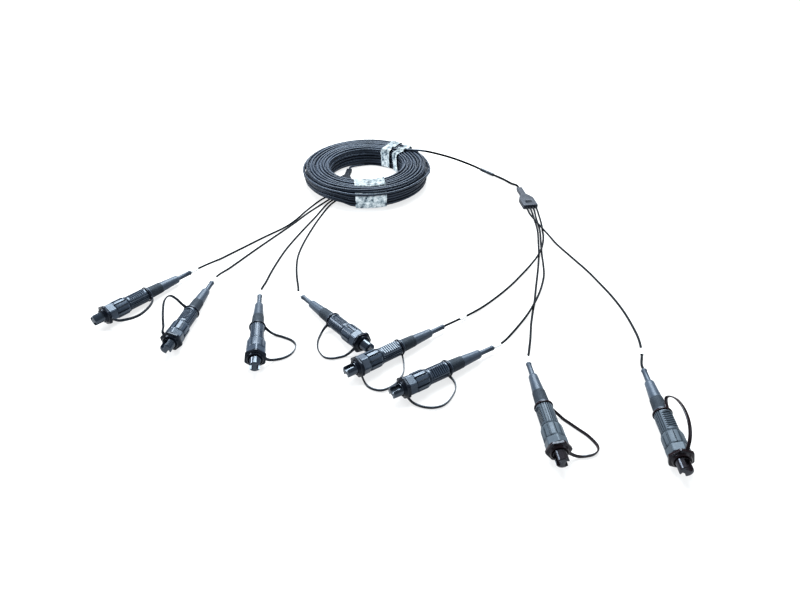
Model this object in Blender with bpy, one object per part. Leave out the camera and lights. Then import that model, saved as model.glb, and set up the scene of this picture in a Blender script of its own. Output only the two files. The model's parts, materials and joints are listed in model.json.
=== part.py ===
"""A pre-terminated fibre optic drop cable: a flat-lying coil of trunk cable, split at each end by a
breakout block into four leads, each lead ending in a hardened plug with a tethered dust cap.

Metres, +Z up, floor at Z = 0. Plugs are modelled along their own +X axis, from nose tip to cable end.
"""

import math

import bpy
import bmesh
from mathutils import Matrix, Vector

# Clearance between touching pieces
GAP = 0.0003

# Moves the whole layout so that the middle of the coil, blocks and plugs stands at the origin
LAYOUT_SHIFT = (-0.0003, 0.0030, 0.0)

# Cables
TRUNK_DIAMETER = 0.0032
LEAD_DIAMETER = 0.0024
POINT_SPACING = 3.0

# Coil of trunk cable
COIL_CENTRE = (-0.0085, 0.223)
COIL_INNER_RADIUS = 0.0530
COIL_OUTER_RADIUS = 0.0940
COIL_HEIGHT = 0.0296
COIL_ROUNDING = 0.0060
COIL_FOOT_INSET = 0.0035
TURNS_ACROSS = 9
TURN_RELIEF = 0.0008
COIL_SEGMENTS = 60

# The coil arches over the four leads that pass under its front left side
ARCH_ANGLE = math.radians(-133.0)
ARCH_HALF_WIDTH = math.radians(21.0)
ARCH_RAMP = math.radians(14.0)
ARCH_CLEARANCE = 0.0016

# Tape
TAPE_THICKNESS = 0.0005
TAPE_FLOOR_CLEARANCE = 0.0020
FRONT_TAPE_WIDTH = 0.0440
FRONT_TAPE_ANGLE = math.radians(-83.0)
BACK_TAPE_WIDTHS = (0.0155, 0.0115)
BACK_TAPE_ANGLES = ((math.radians(60.0), math.radians(57.0)), (math.radians(50.0), math.radians(31.0)))
PATCH_WIDTH = 0.0180
PATCH_LOW = 0.0080
PATCH_HIGH = 0.0210
PATCH_ANGLES = {"left": math.radians(190.0), "right": math.radians(-6.0)}
TAPE_STEPS = 4

# Breakout blocks
BLOCK_LENGTH = 0.0225
BLOCK_WIDTH = 0.0210
BLOCK_HEIGHT = 0.0064
BLOCK_SHOULDER = 0.0135
BLOCK_SHOULDER_BULGE = 0.0045
BLOCK_SHOULDER_WIDTH = 0.0174
BLOCK_NECK_LENGTH = 0.0210
BLOCK_NECK_WIDTH = 0.0080
BLOCK_NECK_HEIGHT = 0.0054
BLOCK_EDGE = 0.0008
BLOCK_PANEL_LENGTH = 0.0060
BLOCK_PANEL_WIDTH = 0.0095
BLOCK_PANEL_MIDDLE = 0.0105
BLOCK_PANEL_DEPTH = 0.0005
LEAD_SPACING = 0.0044
LEADS_PER_BLOCK = 4
RIGHT_BLOCK_PLACE = (0.2285, 0.1330)
BLOCK_HEADINGS = {"right": math.radians(-82.0), "left": math.radians(-97.5)}

# The trunk tail leaves the left block and ends short of the wall of the coil's bore
TAIL_LENGTH = 0.0111
TAIL_END_ANGLE = math.radians(123.1)
TAIL_WALL_CLEARANCE = 0.0045

# Dust cap
NOSE_LENGTH = 0.0115
NOSE_RADIUS = 0.0058
NOSE_CHAMFER = 0.0005
CHANNEL_WIDTH = 0.0056
CHANNEL_LENGTH = 0.0095
WEB_THICKNESS = 0.0040
EYE_START = 0.0026
EYE_LENGTH = 0.0060
EYE_WIDTH = 0.0052
COLLAR_RADIUS = 0.0085
COLLAR_LENGTH = 0.0010
FLANGE_THICKNESS = 0.0030
FLANGE_APOTHEM = 0.0103
FLANGE_CORNER_RADIUS = 0.0114
SPIGOT_LENGTH = 0.0040
STRAP_WIDTH = 0.0030
STRAP_THICKNESS = 0.0014
STRAP_STEPS = 18
CAP_SIDES = 12
TETHER_WIDTH = 0.0022
TETHER_WALL = 0.0015

# Coupling nut
NUT_LENGTH = 0.0242
NUT_COLLAR_LENGTH = 0.0082
NUT_HEX_APOTHEM = 0.0090
NUT_CORNER_RADIUS = 0.0100
NUT_RIB_RADIUS = 0.0097
NUT_GROOVE_RADIUS = 0.0088
NUT_CHAMFER_LENGTH = 0.0024
NUT_CHAMFER_RADIUS = 0.0083
NUT_LIP_LENGTH = 0.0008
NUT_LIP_RADIUS = 0.0086
NUT_SIDES = 6

# Angles of the points in one sixth of the nut, from the middle of its flat: two ribs beside a groove
NUT_ANGLES = tuple(math.radians(angle) for angle in (-24.0, -6.0, 0.0, 6.0, 24.0, 30.0))
NUT_ON_RIB = (True, True, False, True, True, False)

# Plug body
SPINDLE_RADIUS = 0.0060
BODY_LENGTH = 0.0226
BODY_RADIUS = 0.0080
BODY_CHAMFER = 0.0007
GROOVE_RADIUS = 0.0068
BODY_SIDES = 16

# Boot
BOOT_COLLAR_LENGTH = 0.0015
BOOT_COLLAR_RADIUS = 0.0074
BOOT_GRIP_LENGTH = 0.0155
BOOT_GRIP_RADIUS = 0.0066
BOOT_GRIP_END_RADIUS = 0.0061
BOOT_TAPER_LENGTH = 0.0230
BOOT_TAPER_RADIUS = 0.0056
BOOT_TAPER_END_RADIUS = 0.0042
BOOT_TAIL_LENGTH = 0.0175
BOOT_TAIL_RADIUS = 0.0026
BOOT_SIDES = 12

# Marker and trunk sleeves
MARKER_LENGTH = 0.0095
MARKER_WALL = 0.0005
SLEEVE_LENGTH = 0.0230
SLEEVE_WALL = 0.0006
SLEEVE_SIDES = 10
SLEEVE_CLEARANCE = 0.0004

# Places that follow from the sizes
FLANGE_FRONT = NOSE_LENGTH + COLLAR_LENGTH
FLANGE_BACK = FLANGE_FRONT + FLANGE_THICKNESS
SPIGOT_RADIUS = SPINDLE_RADIUS
SPIGOT_BACK = FLANGE_BACK + SPIGOT_LENGTH
NUT_FRONT = FLANGE_BACK + GAP
NUT_BACK = NUT_FRONT + NUT_LENGTH
NUT_CENTRE = (NUT_FRONT + NUT_BACK) / 2
NUT_BORE_RADIUS = SPINDLE_RADIUS + GAP
BODY_FRONT = NUT_BACK + GAP
BODY_BACK = BODY_FRONT + BODY_LENGTH
TETHER_FRONT = BODY_BACK + GAP
TETHER_BACK = TETHER_FRONT + TETHER_WIDTH
TETHER_MIDDLE = (TETHER_FRONT + TETHER_BACK) / 2
TETHER_INNER_RADIUS = (GROOVE_RADIUS + GAP) / math.cos(math.pi / CAP_SIDES)
TETHER_OUTER_RADIUS = TETHER_INNER_RADIUS + TETHER_WALL
GROOVE_BACK = TETHER_BACK + GAP
BOOT_FRONT = GROOVE_BACK + GAP
BOOT_GRIP_BACK = BOOT_FRONT + BOOT_COLLAR_LENGTH + BOOT_GRIP_LENGTH
BOOT_TAPER_BACK = BOOT_GRIP_BACK + BOOT_TAPER_LENGTH
BOOT_BACK = BOOT_TAPER_BACK + BOOT_TAIL_LENGTH
LEAD_RADIUS = LEAD_DIAMETER / 2
TRUNK_RADIUS = TRUNK_DIAMETER / 2
ARCH_HEIGHT = LEAD_DIAMETER + 2 * GAP + ARCH_CLEARANCE
EXIT_HEIGHT = BLOCK_HEIGHT / 2
TRUNK_ON_COIL = COIL_HEIGHT + GAP + TRUNK_RADIUS
FLOOR_LEAD = LEAD_RADIUS + 0.00005
UNDER_COIL = LEAD_RADIUS + GAP
OVER_LEAD = FLOOR_LEAD + LEAD_DIAMETER + 2 * GAP

# How high the middle of a strap stands that lies on its edge on the floor
STRAP_ON_FLOOR = 0.0018

# Plugs: tip place, direction from tip to cable, the side of the cap that the strap leaves from, the
# roll of the slots in the nose, the roll of the nut, and the strap's own line over the floor, as
# (distance behind the tip, distance to the left, height above the floor)
PLUGS = {
    1: ((-0.2822, -0.1317), 53.1, 182.0, 136.0, 54.0, (
        (0.0179, -0.0189, 0.0106), (0.0235, -0.0232, 0.0104), (0.0299, -0.0263, 0.0102),
        (0.0378, -0.0273, 0.0100), (0.0487, -0.0242, 0.0096), (0.0584, -0.0184, 0.0092),
        (0.0636, -0.0125, 0.0090),
    )),
    2: ((-0.1920, -0.1761), 83.0, 50.0, -20.0, 5.0, (
        (0.0156, 0.0078, 0.0205), (0.0226, 0.0098, 0.0224), (0.0305, 0.0130, 0.0260),
        (0.0410, 0.0166, 0.0298), (0.0513, 0.0192, 0.0325), (0.0592, 0.0191, 0.0322),
        (0.0634, 0.0175, 0.0300), (0.0650, 0.0135, 0.0250), (0.0645, 0.0090, 0.0195),
    )),
    3: ((-0.0978, -0.2014), 98.6, 192.0, 98.0, 13.0, (
        (0.0166, -0.0130, 0.0042), (0.0189, -0.0170, STRAP_ON_FLOOR), (0.0199, -0.0249, STRAP_ON_FLOOR),
        (0.0233, -0.0319, STRAP_ON_FLOOR), (0.0294, -0.0370, STRAP_ON_FLOOR),
        (0.0380, -0.0388, STRAP_ON_FLOOR), (0.0456, -0.0349, STRAP_ON_FLOOR),
        (0.0525, -0.0262, STRAP_ON_FLOOR), (0.0576, -0.0176, 0.0020), (0.0610, -0.0120, 0.0042),
    )),
    4: ((0.0131, -0.1752), 130.5, 345.0, 50.0, 20.0, (
        (0.0160, 0.0130, 0.0045), (0.0176, 0.0182, STRAP_ON_FLOOR), (0.0195, 0.0248, STRAP_ON_FLOOR),
        (0.0238, 0.0324, STRAP_ON_FLOOR), (0.0296, 0.0362, STRAP_ON_FLOOR),
        (0.0377, 0.0359, STRAP_ON_FLOOR), (0.0454, 0.0333, STRAP_ON_FLOOR),
        (0.0544, 0.0267, STRAP_ON_FLOOR), (0.0605, 0.0195, 0.0019), (0.0635, 0.0130, 0.0042),
    )),
    5: ((-0.0091, -0.2085), 37.4, 225.0, 0.0, 20.0, (
        (0.0128, -0.0115, 0.0020), (0.0119, -0.0158, STRAP_ON_FLOOR), (0.0119, -0.0208, STRAP_ON_FLOOR),
        (0.0147, -0.0275, STRAP_ON_FLOOR), (0.0192, -0.0319, STRAP_ON_FLOOR),
        (0.0257, -0.0336, STRAP_ON_FLOOR), (0.0340, -0.0333, STRAP_ON_FLOOR),
        (0.0420, -0.0304, STRAP_ON_FLOOR), (0.0499, -0.0259, STRAP_ON_FLOOR),
        (0.0569, -0.0178, STRAP_ON_FLOOR), (0.0613, -0.0108, 0.0022),
    )),
    6: ((0.0350, -0.2358), 33.9, 225.0, 10.0, 46.0, (
        (0.0148, -0.0105, 0.0022), (0.0154, -0.0130, STRAP_ON_FLOOR), (0.0166, -0.0165, STRAP_ON_FLOOR),
        (0.0199, -0.0220, STRAP_ON_FLOOR), (0.0265, -0.0280, STRAP_ON_FLOOR),
        (0.0353, -0.0312, STRAP_ON_FLOOR), (0.0427, -0.0305, STRAP_ON_FLOOR),
        (0.0503, -0.0273, STRAP_ON_FLOOR), (0.0580, -0.0224, STRAP_ON_FLOOR),
        (0.0627, -0.0165, STRAP_ON_FLOOR), (0.0643, -0.0108, 0.0022),
    )),
    7: ((0.1769, -0.3141), 93.2, 200.0, 95.0, 0.0, (
        (0.0138, -0.0140, 0.0038), (0.0136, -0.0190, STRAP_ON_FLOOR), (0.0137, -0.0260, STRAP_ON_FLOOR),
        (0.0152, -0.0325, STRAP_ON_FLOOR), (0.0190, -0.0371, STRAP_ON_FLOOR),
        (0.0235, -0.0382, STRAP_ON_FLOOR), (0.0291, -0.0365, STRAP_ON_FLOOR),
        (0.0363, -0.0325, STRAP_ON_FLOOR), (0.0427, -0.0272, STRAP_ON_FLOOR),
        (0.0492, -0.0219, STRAP_ON_FLOOR), (0.0559, -0.0165, 0.0018), (0.0605, -0.0125, 0.0034),
    )),
    8: ((0.2749, -0.3227), 87.1, 105.0, 20.0, 14.0, (
        (0.0207, -0.0045, 0.0276), (0.0267, -0.0056, 0.0315), (0.0342, -0.0063, 0.0339),
        (0.0420, -0.0066, 0.0347), (0.0517, -0.0065, 0.0340), (0.0632, -0.0057, 0.0305),
        (0.0712, -0.0041, 0.0248), (0.0735, -0.0030, 0.0205), (0.0705, -0.0026, 0.0182),
    )),
}

# Leads: the block and its exit that each starts from, its own route over the floor, and how far its
# marker sleeve stands from the end of the boot
LEADS = {
    1: ("left", 0, 0.0010, (
        (-0.0585, 0.1750, UNDER_COIL), (-0.0720, 0.1570, UNDER_COIL), (-0.0890, 0.1260, FLOOR_LEAD),
        (-0.1008, 0.0995, FLOOR_LEAD), (-0.1125, 0.0805, FLOOR_LEAD), (-0.1360, 0.0550, FLOOR_LEAD),
        (-0.1570, 0.0310, FLOOR_LEAD), (-0.1785, 0.0065, FLOOR_LEAD),
        (-0.1950, -0.0150, 0.0042),
    )),
    2: ("left", 1, 0.0010, (
        (-0.0520, 0.1720, UNDER_COIL), (-0.0650, 0.1510, UNDER_COIL), (-0.0850, 0.1210, FLOOR_LEAD),
        (-0.0985, 0.0965, FLOOR_LEAD), (-0.1100, 0.0765, FLOOR_LEAD), (-0.1250, 0.0520, FLOOR_LEAD),
        (-0.1400, 0.0270, FLOOR_LEAD), (-0.1550, 0.0010, FLOOR_LEAD), (-0.1660, -0.0190, 0.0018),
        (-0.1737, -0.0350, 0.0040),
    )),
    3: ("left", 2, 0.0010, (
        (-0.0455, 0.1720, UNDER_COIL), (-0.0605, 0.1470, UNDER_COIL), (-0.0750, 0.1060, FLOOR_LEAD),
        (-0.0860, 0.0760, FLOOR_LEAD), (-0.0960, 0.0470, FLOOR_LEAD), (-0.1030, 0.0240, FLOOR_LEAD),
        (-0.1090, -0.0030, FLOOR_LEAD), (-0.1132, -0.0270, FLOOR_LEAD), (-0.1155, -0.0470, 0.0020),
        (-0.1170, -0.0620, 0.0042),
    )),
    4: ("left", 3, 0.0010, (
        (-0.0400, 0.1720, UNDER_COIL), (-0.0560, 0.1440, UNDER_COIL), (-0.0680, 0.1070, FLOOR_LEAD),
        (-0.0760, 0.0730, FLOOR_LEAD), (-0.0828, 0.0360, FLOOR_LEAD), (-0.0852, 0.0090, FLOOR_LEAD),
        (-0.0837, -0.0150, FLOOR_LEAD), (-0.0800, -0.0380, 0.0020), (-0.0755, -0.0590, 0.0044),
    )),
    5: ("right", 3, 0.0240, (
        (0.2365, 0.1090, FLOOR_LEAD), (0.2353, 0.0840, FLOOR_LEAD), (0.2337, 0.0700, FLOOR_LEAD),
        (0.2318, 0.0560, 0.0024), (0.2280, 0.0390, OVER_LEAD), (0.2225, 0.0220, OVER_LEAD),
        (0.2135, 0.0030, OVER_LEAD), (0.2020, -0.0140, 0.0026), (0.1900, -0.0300, FLOOR_LEAD),
        (0.1765, -0.0485, FLOOR_LEAD), (0.1590, -0.0695, FLOOR_LEAD), (0.1382, -0.0912, FLOOR_LEAD),
        (0.1200, -0.1078, 0.0024), (0.1035, -0.1218, 0.0046),
    )),
    6: ("right", 2, 0.0010, (
        (0.2313, 0.1050, FLOOR_LEAD), (0.2303, 0.0720, FLOOR_LEAD), (0.2260, 0.0410, FLOOR_LEAD),
        (0.2222, 0.0140, FLOOR_LEAD), (0.2195, -0.0100, FLOOR_LEAD), (0.2160, -0.0320, 0.0018),
        (0.2080, -0.0580, 0.0034), (0.2000, -0.0780, OVER_LEAD), (0.1920, -0.0940, OVER_LEAD),
        (0.1835, -0.1085, 0.0030), (0.1735, -0.1225, FLOOR_LEAD), (0.1640, -0.1365, 0.0020),
        (0.1520, -0.1540, 0.0044),
    )),
    7: ("right", 1, 0.0010, (
        (0.2283, 0.1050, FLOOR_LEAD), (0.2272, 0.0720, FLOOR_LEAD), (0.2228, 0.0410, FLOOR_LEAD),
        (0.2179, 0.0110, FLOOR_LEAD), (0.2120, -0.0160, FLOOR_LEAD), (0.2020, -0.0570, FLOOR_LEAD),
        (0.1960, -0.0820, FLOOR_LEAD), (0.1905, -0.1020, FLOOR_LEAD), (0.1850, -0.1230, FLOOR_LEAD),
        (0.1800, -0.1470, FLOOR_LEAD), (0.1768, -0.1600, 0.0022), (0.1726, -0.1760, 0.0048),
    )),
    8: ("right", 0, 0.0240, (
        (0.2237, 0.1120, 0.0037), (0.2286, 0.0900, OVER_LEAD), (0.2342, 0.0700, OVER_LEAD),
        (0.2390, 0.0560, 0.0034), (0.2450, 0.0390, 0.0018), (0.2600, 0.0030, FLOOR_LEAD),
        (0.2710, -0.0240, FLOOR_LEAD), (0.2790, -0.0490, FLOOR_LEAD), (0.2862, -0.0740, FLOOR_LEAD),
        (0.2915, -0.1020, FLOOR_LEAD), (0.2935, -0.1280, FLOOR_LEAD), (0.2934, -0.1450, 0.0018),
        (0.2910, -0.1600, 0.0034), (0.2866, -0.1770, 0.0050),
    )),
}

# Trunk: from the top of the coil down to the right block, and from the left block to the coil's bore
TRUNK_ROUTE = (
    (0.0525, 0.2660, TRUNK_ON_COIL), (0.0620, 0.2640, TRUNK_ON_COIL), (0.0740, 0.2625, TRUNK_ON_COIL),
    (0.0900, 0.2630, 0.0286), (0.1205, 0.2625, 0.0205), (0.1430, 0.2590, 0.0138),
    (0.1600, 0.2545, 0.0085), (0.1730, 0.2475, 0.0050), (0.1885, 0.2360, 0.0028),
    (0.2020, 0.2230, 0.0020), (0.2120, 0.2080, 0.0023),
)
SLEEVE_START = 0.1230


def material(name, colour, roughness, metallic=0.0):
    made = bpy.data.materials.new(name)
    made.use_nodes = True
    shader = made.node_tree.nodes["Principled BSDF"]
    shader.inputs["Base Color"].default_value = (*colour, 1.0)
    shader.inputs["Roughness"].default_value = roughness
    shader.inputs["Metallic"].default_value = metallic
    return made


def empty(name, matrix, parent=None):
    made = bpy.data.objects.new(name, None)
    bpy.context.collection.objects.link(made)
    made.parent = parent
    made.matrix_local = matrix
    return made


def object_of(name, mesh, look=None, parent=None, place=None):
    """Every object hangs from the layout's empty, or from the plug that it belongs to."""
    made = bpy.data.objects.new(name, mesh)
    bpy.context.collection.objects.link(made)
    if look:
        mesh.materials.append(look)
    made.parent = parent or bpy.data.objects["layout"]
    if place:
        made.matrix_local = place
    return made


def guide_of(name, mesh, parent=None, place=None):
    made = object_of(name, mesh, parent=parent, place=place)
    made.hide_render = True
    made.display_type = "WIRE"
    return made


def boolean(target, operation, guide):
    modifier = target.modifiers.new(guide.name, "BOOLEAN")
    modifier.operation = operation
    modifier.object = guide
    modifier.solver = "EXACT"


def finished(bm, name, smooth_angle=math.radians(35.0)):
    bmesh.ops.recalc_face_normals(bm, faces=bm.faces)
    mesh = bpy.data.meshes.new(name)
    bm.to_mesh(mesh)
    bm.free()
    mesh.shade_smooth()
    mesh.set_sharp_from_angle(angle=smooth_angle)
    return mesh


def loft(name, rings, closed=False):
    """A closed solid through rings of the same number of points: capped, or joined end to start."""
    bm = bmesh.new()
    loops = [[bm.verts.new(point) for point in ring] for ring in rings]
    pairs = list(zip(loops, loops[1:]))
    if closed:
        pairs.append((loops[-1], loops[0]))
    for first, second in pairs:
        count = len(first)
        for i in range(count):
            following = (i + 1) % count
            bm.faces.new((first[i], first[following], second[following], second[i]))
    if not closed:
        bm.faces.new(loops[0])
        bm.faces.new(loops[-1])
    return finished(bm, name)


def polar(x, radius, angle):
    return Vector((x, radius * math.cos(angle), radius * math.sin(angle)))


def circle(x, radius, sides):
    return [polar(x, radius, 2 * math.pi * i / sides) for i in range(sides)]


def revolved(name, profile, sides):
    """A solid along X from (place, radius) pairs."""
    return loft(name, [circle(x, radius, sides) for x, radius in profile])


def spline_points(points, samples=24):
    """Dense points of a centripetal Catmull-Rom spline through the points given."""
    knots = [Vector(p) for p in points]
    knots = [2 * knots[0] - knots[1], *knots, 2 * knots[-1] - knots[-2]]
    dense = []
    for p0, p1, p2, p3 in zip(knots, knots[1:], knots[2:], knots[3:]):
        t0 = 0.0
        t1 = t0 + math.sqrt((p1 - p0).length)
        t2 = t1 + math.sqrt((p2 - p1).length)
        t3 = t2 + math.sqrt((p3 - p2).length)
        for i in range(samples):
            t = t1 + (t2 - t1) * i / samples
            a1 = p0 * ((t1 - t) / (t1 - t0)) + p1 * ((t - t0) / (t1 - t0))
            a2 = p1 * ((t2 - t) / (t2 - t1)) + p2 * ((t - t1) / (t2 - t1))
            a3 = p2 * ((t3 - t) / (t3 - t2)) + p3 * ((t - t2) / (t3 - t2))
            b1 = a1 * ((t2 - t) / (t2 - t0)) + a2 * ((t - t0) / (t2 - t0))
            b2 = a2 * ((t3 - t) / (t3 - t1)) + a3 * ((t - t1) / (t3 - t1))
            dense.append(b1 * ((t2 - t) / (t2 - t1)) + b2 * ((t - t1) / (t2 - t1)))
    dense.append(Vector(points[-1]))
    return dense


def lengths_along(points):
    total = [0.0]
    for first, second in zip(points, points[1:]):
        total.append(total[-1] + (second - first).length)
    return total


def point_at(points, along, distance):
    for i in range(1, len(points)):
        if along[i] >= distance or i == len(points) - 1:
            share = (distance - along[i - 1]) / max(along[i] - along[i - 1], 1e-9)
            return points[i - 1].lerp(points[i], share)


def resampled(points, spacing):
    along = lengths_along(points)
    count = max(2, round(along[-1] / spacing))
    return [point_at(points, along, along[-1] * i / count) for i in range(count + 1)]


def across(direction):
    """Two unit vectors square to a direction that is not upright."""
    side = Vector((0.0, 0.0, 1.0)).cross(direction).normalized()
    return side, direction.cross(side).normalized()


def ring_around(centre, direction, radius, sides):
    side, up = across(direction)
    angles = [2 * math.pi * (i + 0.5) / sides for i in range(sides)]
    return [centre + radius * (math.cos(a) * side + math.sin(a) * up) for a in angles]


def cable(name, points, diameter, look):
    """A tube with flat ends along a smooth line."""
    curve = bpy.data.curves.new(name, "CURVE")
    curve.dimensions = "3D"
    curve.bevel_depth = diameter / 2
    curve.bevel_resolution = 2
    curve.use_fill_caps = True
    line = resampled(points, POINT_SPACING * diameter)
    spline = curve.splines.new("POLY")
    spline.points.add(len(line) - 1)
    for target, point in zip(spline.points, line):
        target.co = (*point, 1.0)
    spline.use_smooth = True
    return object_of(name, curve, look)


def sleeve_on(name, points, start, length, cable_radius, wall, look):
    """A short open tube round a cable, following its line."""
    along = lengths_along(points)
    stations = [start + length * i / 3 for i in range(4)]
    inner_radius = (cable_radius + SLEEVE_CLEARANCE) / math.cos(math.pi / SLEEVE_SIDES)
    outer, inner = [], []
    for distance in stations:
        centre = point_at(points, along, distance)
        behind = point_at(points, along, distance - 0.001)
        ahead = point_at(points, along, distance + 0.001)
        direction = (ahead - behind).normalized()
        outer.append(ring_around(centre, direction, inner_radius + wall, SLEEVE_SIDES))
        inner.append(ring_around(centre, direction, inner_radius, SLEEVE_SIDES))
    return object_of(name, loft(name, outer + inner[::-1], closed=True), look)


def arch_lift(angle):
    """How far the coil's underside is lifted at an angle round the coil."""
    away = abs((angle - ARCH_ANGLE + math.pi) % (2 * math.pi) - math.pi)
    share = min(1.0, max(0.0, (ARCH_HALF_WIDTH + ARCH_RAMP - away) / ARCH_RAMP))
    return ARCH_HEIGHT * share * share * (3 - 2 * share)


def coil_envelope(spread, low):
    """The coil's section without relief, moved out by a spread, as (radius, height) pairs that run
    from the bottom of the outer wall over the top to the bottom of the inner wall."""
    outer = COIL_OUTER_RADIUS + spread
    inner = COIL_INNER_RADIUS - spread
    top = COIL_HEIGHT + spread
    corner = COIL_ROUNDING + spread
    middle = COIL_HEIGHT / 2
    return [
        (outer - COIL_FOOT_INSET * (1 - low / middle), low),
        (outer, middle),
        (outer, top - corner),
        (outer - corner * 0.30, top - corner * 0.30),
        (outer - corner, top),
        (inner + corner, top),
        (inner + corner * 0.30, top - corner * 0.30),
        (inner, top - corner),
        (inner, low),
    ]


def between(first, second, share):
    return tuple(a + (b - a) * share for a, b in zip(first, second))


def coil_profile():
    """The section with the turns showing as ridges on the top and on the outer wall."""
    foot, waist, shoulder, bend, rim, top_inner, inner_bend, inner_shoulder, inner_foot = coil_envelope(0.0, 0.0)
    profile = [(inner_foot[0], 0.0), foot]
    for share in (0.33, 0.66):
        radius, height = between(foot, waist, share)
        profile += [(radius, height), (radius - TURN_RELIEF, height + COIL_HEIGHT * 0.04)]
    profile += [waist, (waist[0] - TURN_RELIEF, waist[1] + COIL_HEIGHT * 0.07), shoulder, bend]
    grooves = TURNS_ACROSS - 2
    for i in range(grooves + 1):
        radius, height = between(rim, top_inner, i / grooves)
        profile.append((radius, height))
        if i < grooves:
            groove = between(rim, top_inner, (i + 0.5) / grooves)
            profile.append((groove[0], height - TURN_RELIEF))
    profile += [inner_bend, inner_shoulder]
    middle = between(inner_shoulder, inner_foot, 0.5)
    profile.append((middle[0] + TURN_RELIEF, middle[1]))
    return profile


def build_coil(look):
    """The wound trunk cable as one turned ring with its bore."""
    bm = bmesh.new()
    profile = coil_profile()
    verts = [bm.verts.new((radius, 0.0, height)) for radius, height in profile]
    edges = [bm.edges.new((verts[i], verts[(i + 1) % len(verts)])) for i in range(len(verts))]
    bmesh.ops.spin(
        bm,
        geom=verts + edges,
        cent=(0.0, 0.0, 0.0),
        axis=(0.0, 0.0, 1.0),
        dvec=(0.0, 0.0, 0.0),
        angle=2 * math.pi,
        steps=COIL_SEGMENTS,
        use_merge=False,
        use_duplicate=False,
    )
    bmesh.ops.remove_doubles(bm, verts=bm.verts, dist=1e-6)
    for vert in bm.verts:
        lift = arch_lift(math.atan2(vert.co.y, vert.co.x))
        vert.co.z += lift * (1 - vert.co.z / COIL_HEIGHT)
    mesh = finished(bm, "cable_coil", math.radians(20.0))
    return object_of("cable_coil", mesh, look, place=Matrix.Translation((*COIL_CENTRE, 0.0)))


def tape_strip(name, section, thickness, angles, width, look):
    """A strip of even width over the coil, along a (radius, height) section that starts at the
    first angle round the coil and ends at the second."""
    inside, outside = section(GAP), section(GAP + thickness)
    shares = lengths_along([Vector((*point, 0.0)) for point in inside])
    turns = [angles[0] + (angles[1] - angles[0]) * share / shares[-1] for share in shares]
    outline = list(zip(outside, turns)) + list(zip(inside, turns))[::-1]
    rings = []
    for i in range(TAPE_STEPS + 1):
        aside = width * (i / TAPE_STEPS - 0.5)
        ring = []
        for (radius, height), angle in outline:
            radial = Vector((math.cos(angle), math.sin(angle), 0.0))
            side = Vector((-radial.y, radial.x, 0.0))
            outward = math.sqrt(radius * radius - aside * aside)
            ring.append(radial * outward + side * aside + Vector((0.0, 0.0, height)))
        rings.append(ring)
    return object_of(name, loft(name, rings), look, place=Matrix.Translation((*COIL_CENTRE, 0.0)))


def band_section(spread):
    return coil_envelope(spread, TAPE_FLOOR_CLEARANCE)


def patch_section(spread):
    outer = COIL_OUTER_RADIUS + spread
    return [(outer, PATCH_LOW), (outer, PATCH_HIGH)]


def build_tapes(look):
    front_angles = (FRONT_TAPE_ANGLE, FRONT_TAPE_ANGLE)
    tape_strip("front_tape_band", band_section, TAPE_THICKNESS, front_angles, FRONT_TAPE_WIDTH, look)
    for number, (angles, width) in enumerate(zip(BACK_TAPE_ANGLES, BACK_TAPE_WIDTHS), 1):
        tape_strip(f"back_tape_band_{number}", band_section, TAPE_THICKNESS, angles, width, look)
    for side, angle in PATCH_ANGLES.items():
        tape_strip(f"{side}_tape_patch", patch_section, TAPE_THICKNESS, (angle, angle), PATCH_WIDTH, look)


def left_block_place():
    """The left block lies where its trunk tail ends just inside the wall of the bore."""
    reach = COIL_INNER_RADIUS - TAIL_WALL_CLEARANCE
    end = (math.cos(TAIL_END_ANGLE) * reach, math.sin(TAIL_END_ANGLE) * reach)
    length = BLOCK_LENGTH + BLOCK_SHOULDER + BLOCK_NECK_LENGTH + GAP + TAIL_LENGTH
    heading = BLOCK_HEADINGS["left"]
    return tuple(
        centre + offset + length * part
        for centre, offset, part in zip(COIL_CENTRE, end, (math.cos(heading), math.sin(heading)))
    )


def block_frame(name):
    """The block's front face centre on the floor, with +X out of the face along the leads."""
    x, y = RIGHT_BLOCK_PLACE if name == "right" else left_block_place()
    return Matrix.Translation((x, y, 0.0)) @ Matrix.Rotation(BLOCK_HEADINGS[name], 4, "Z")


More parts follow.
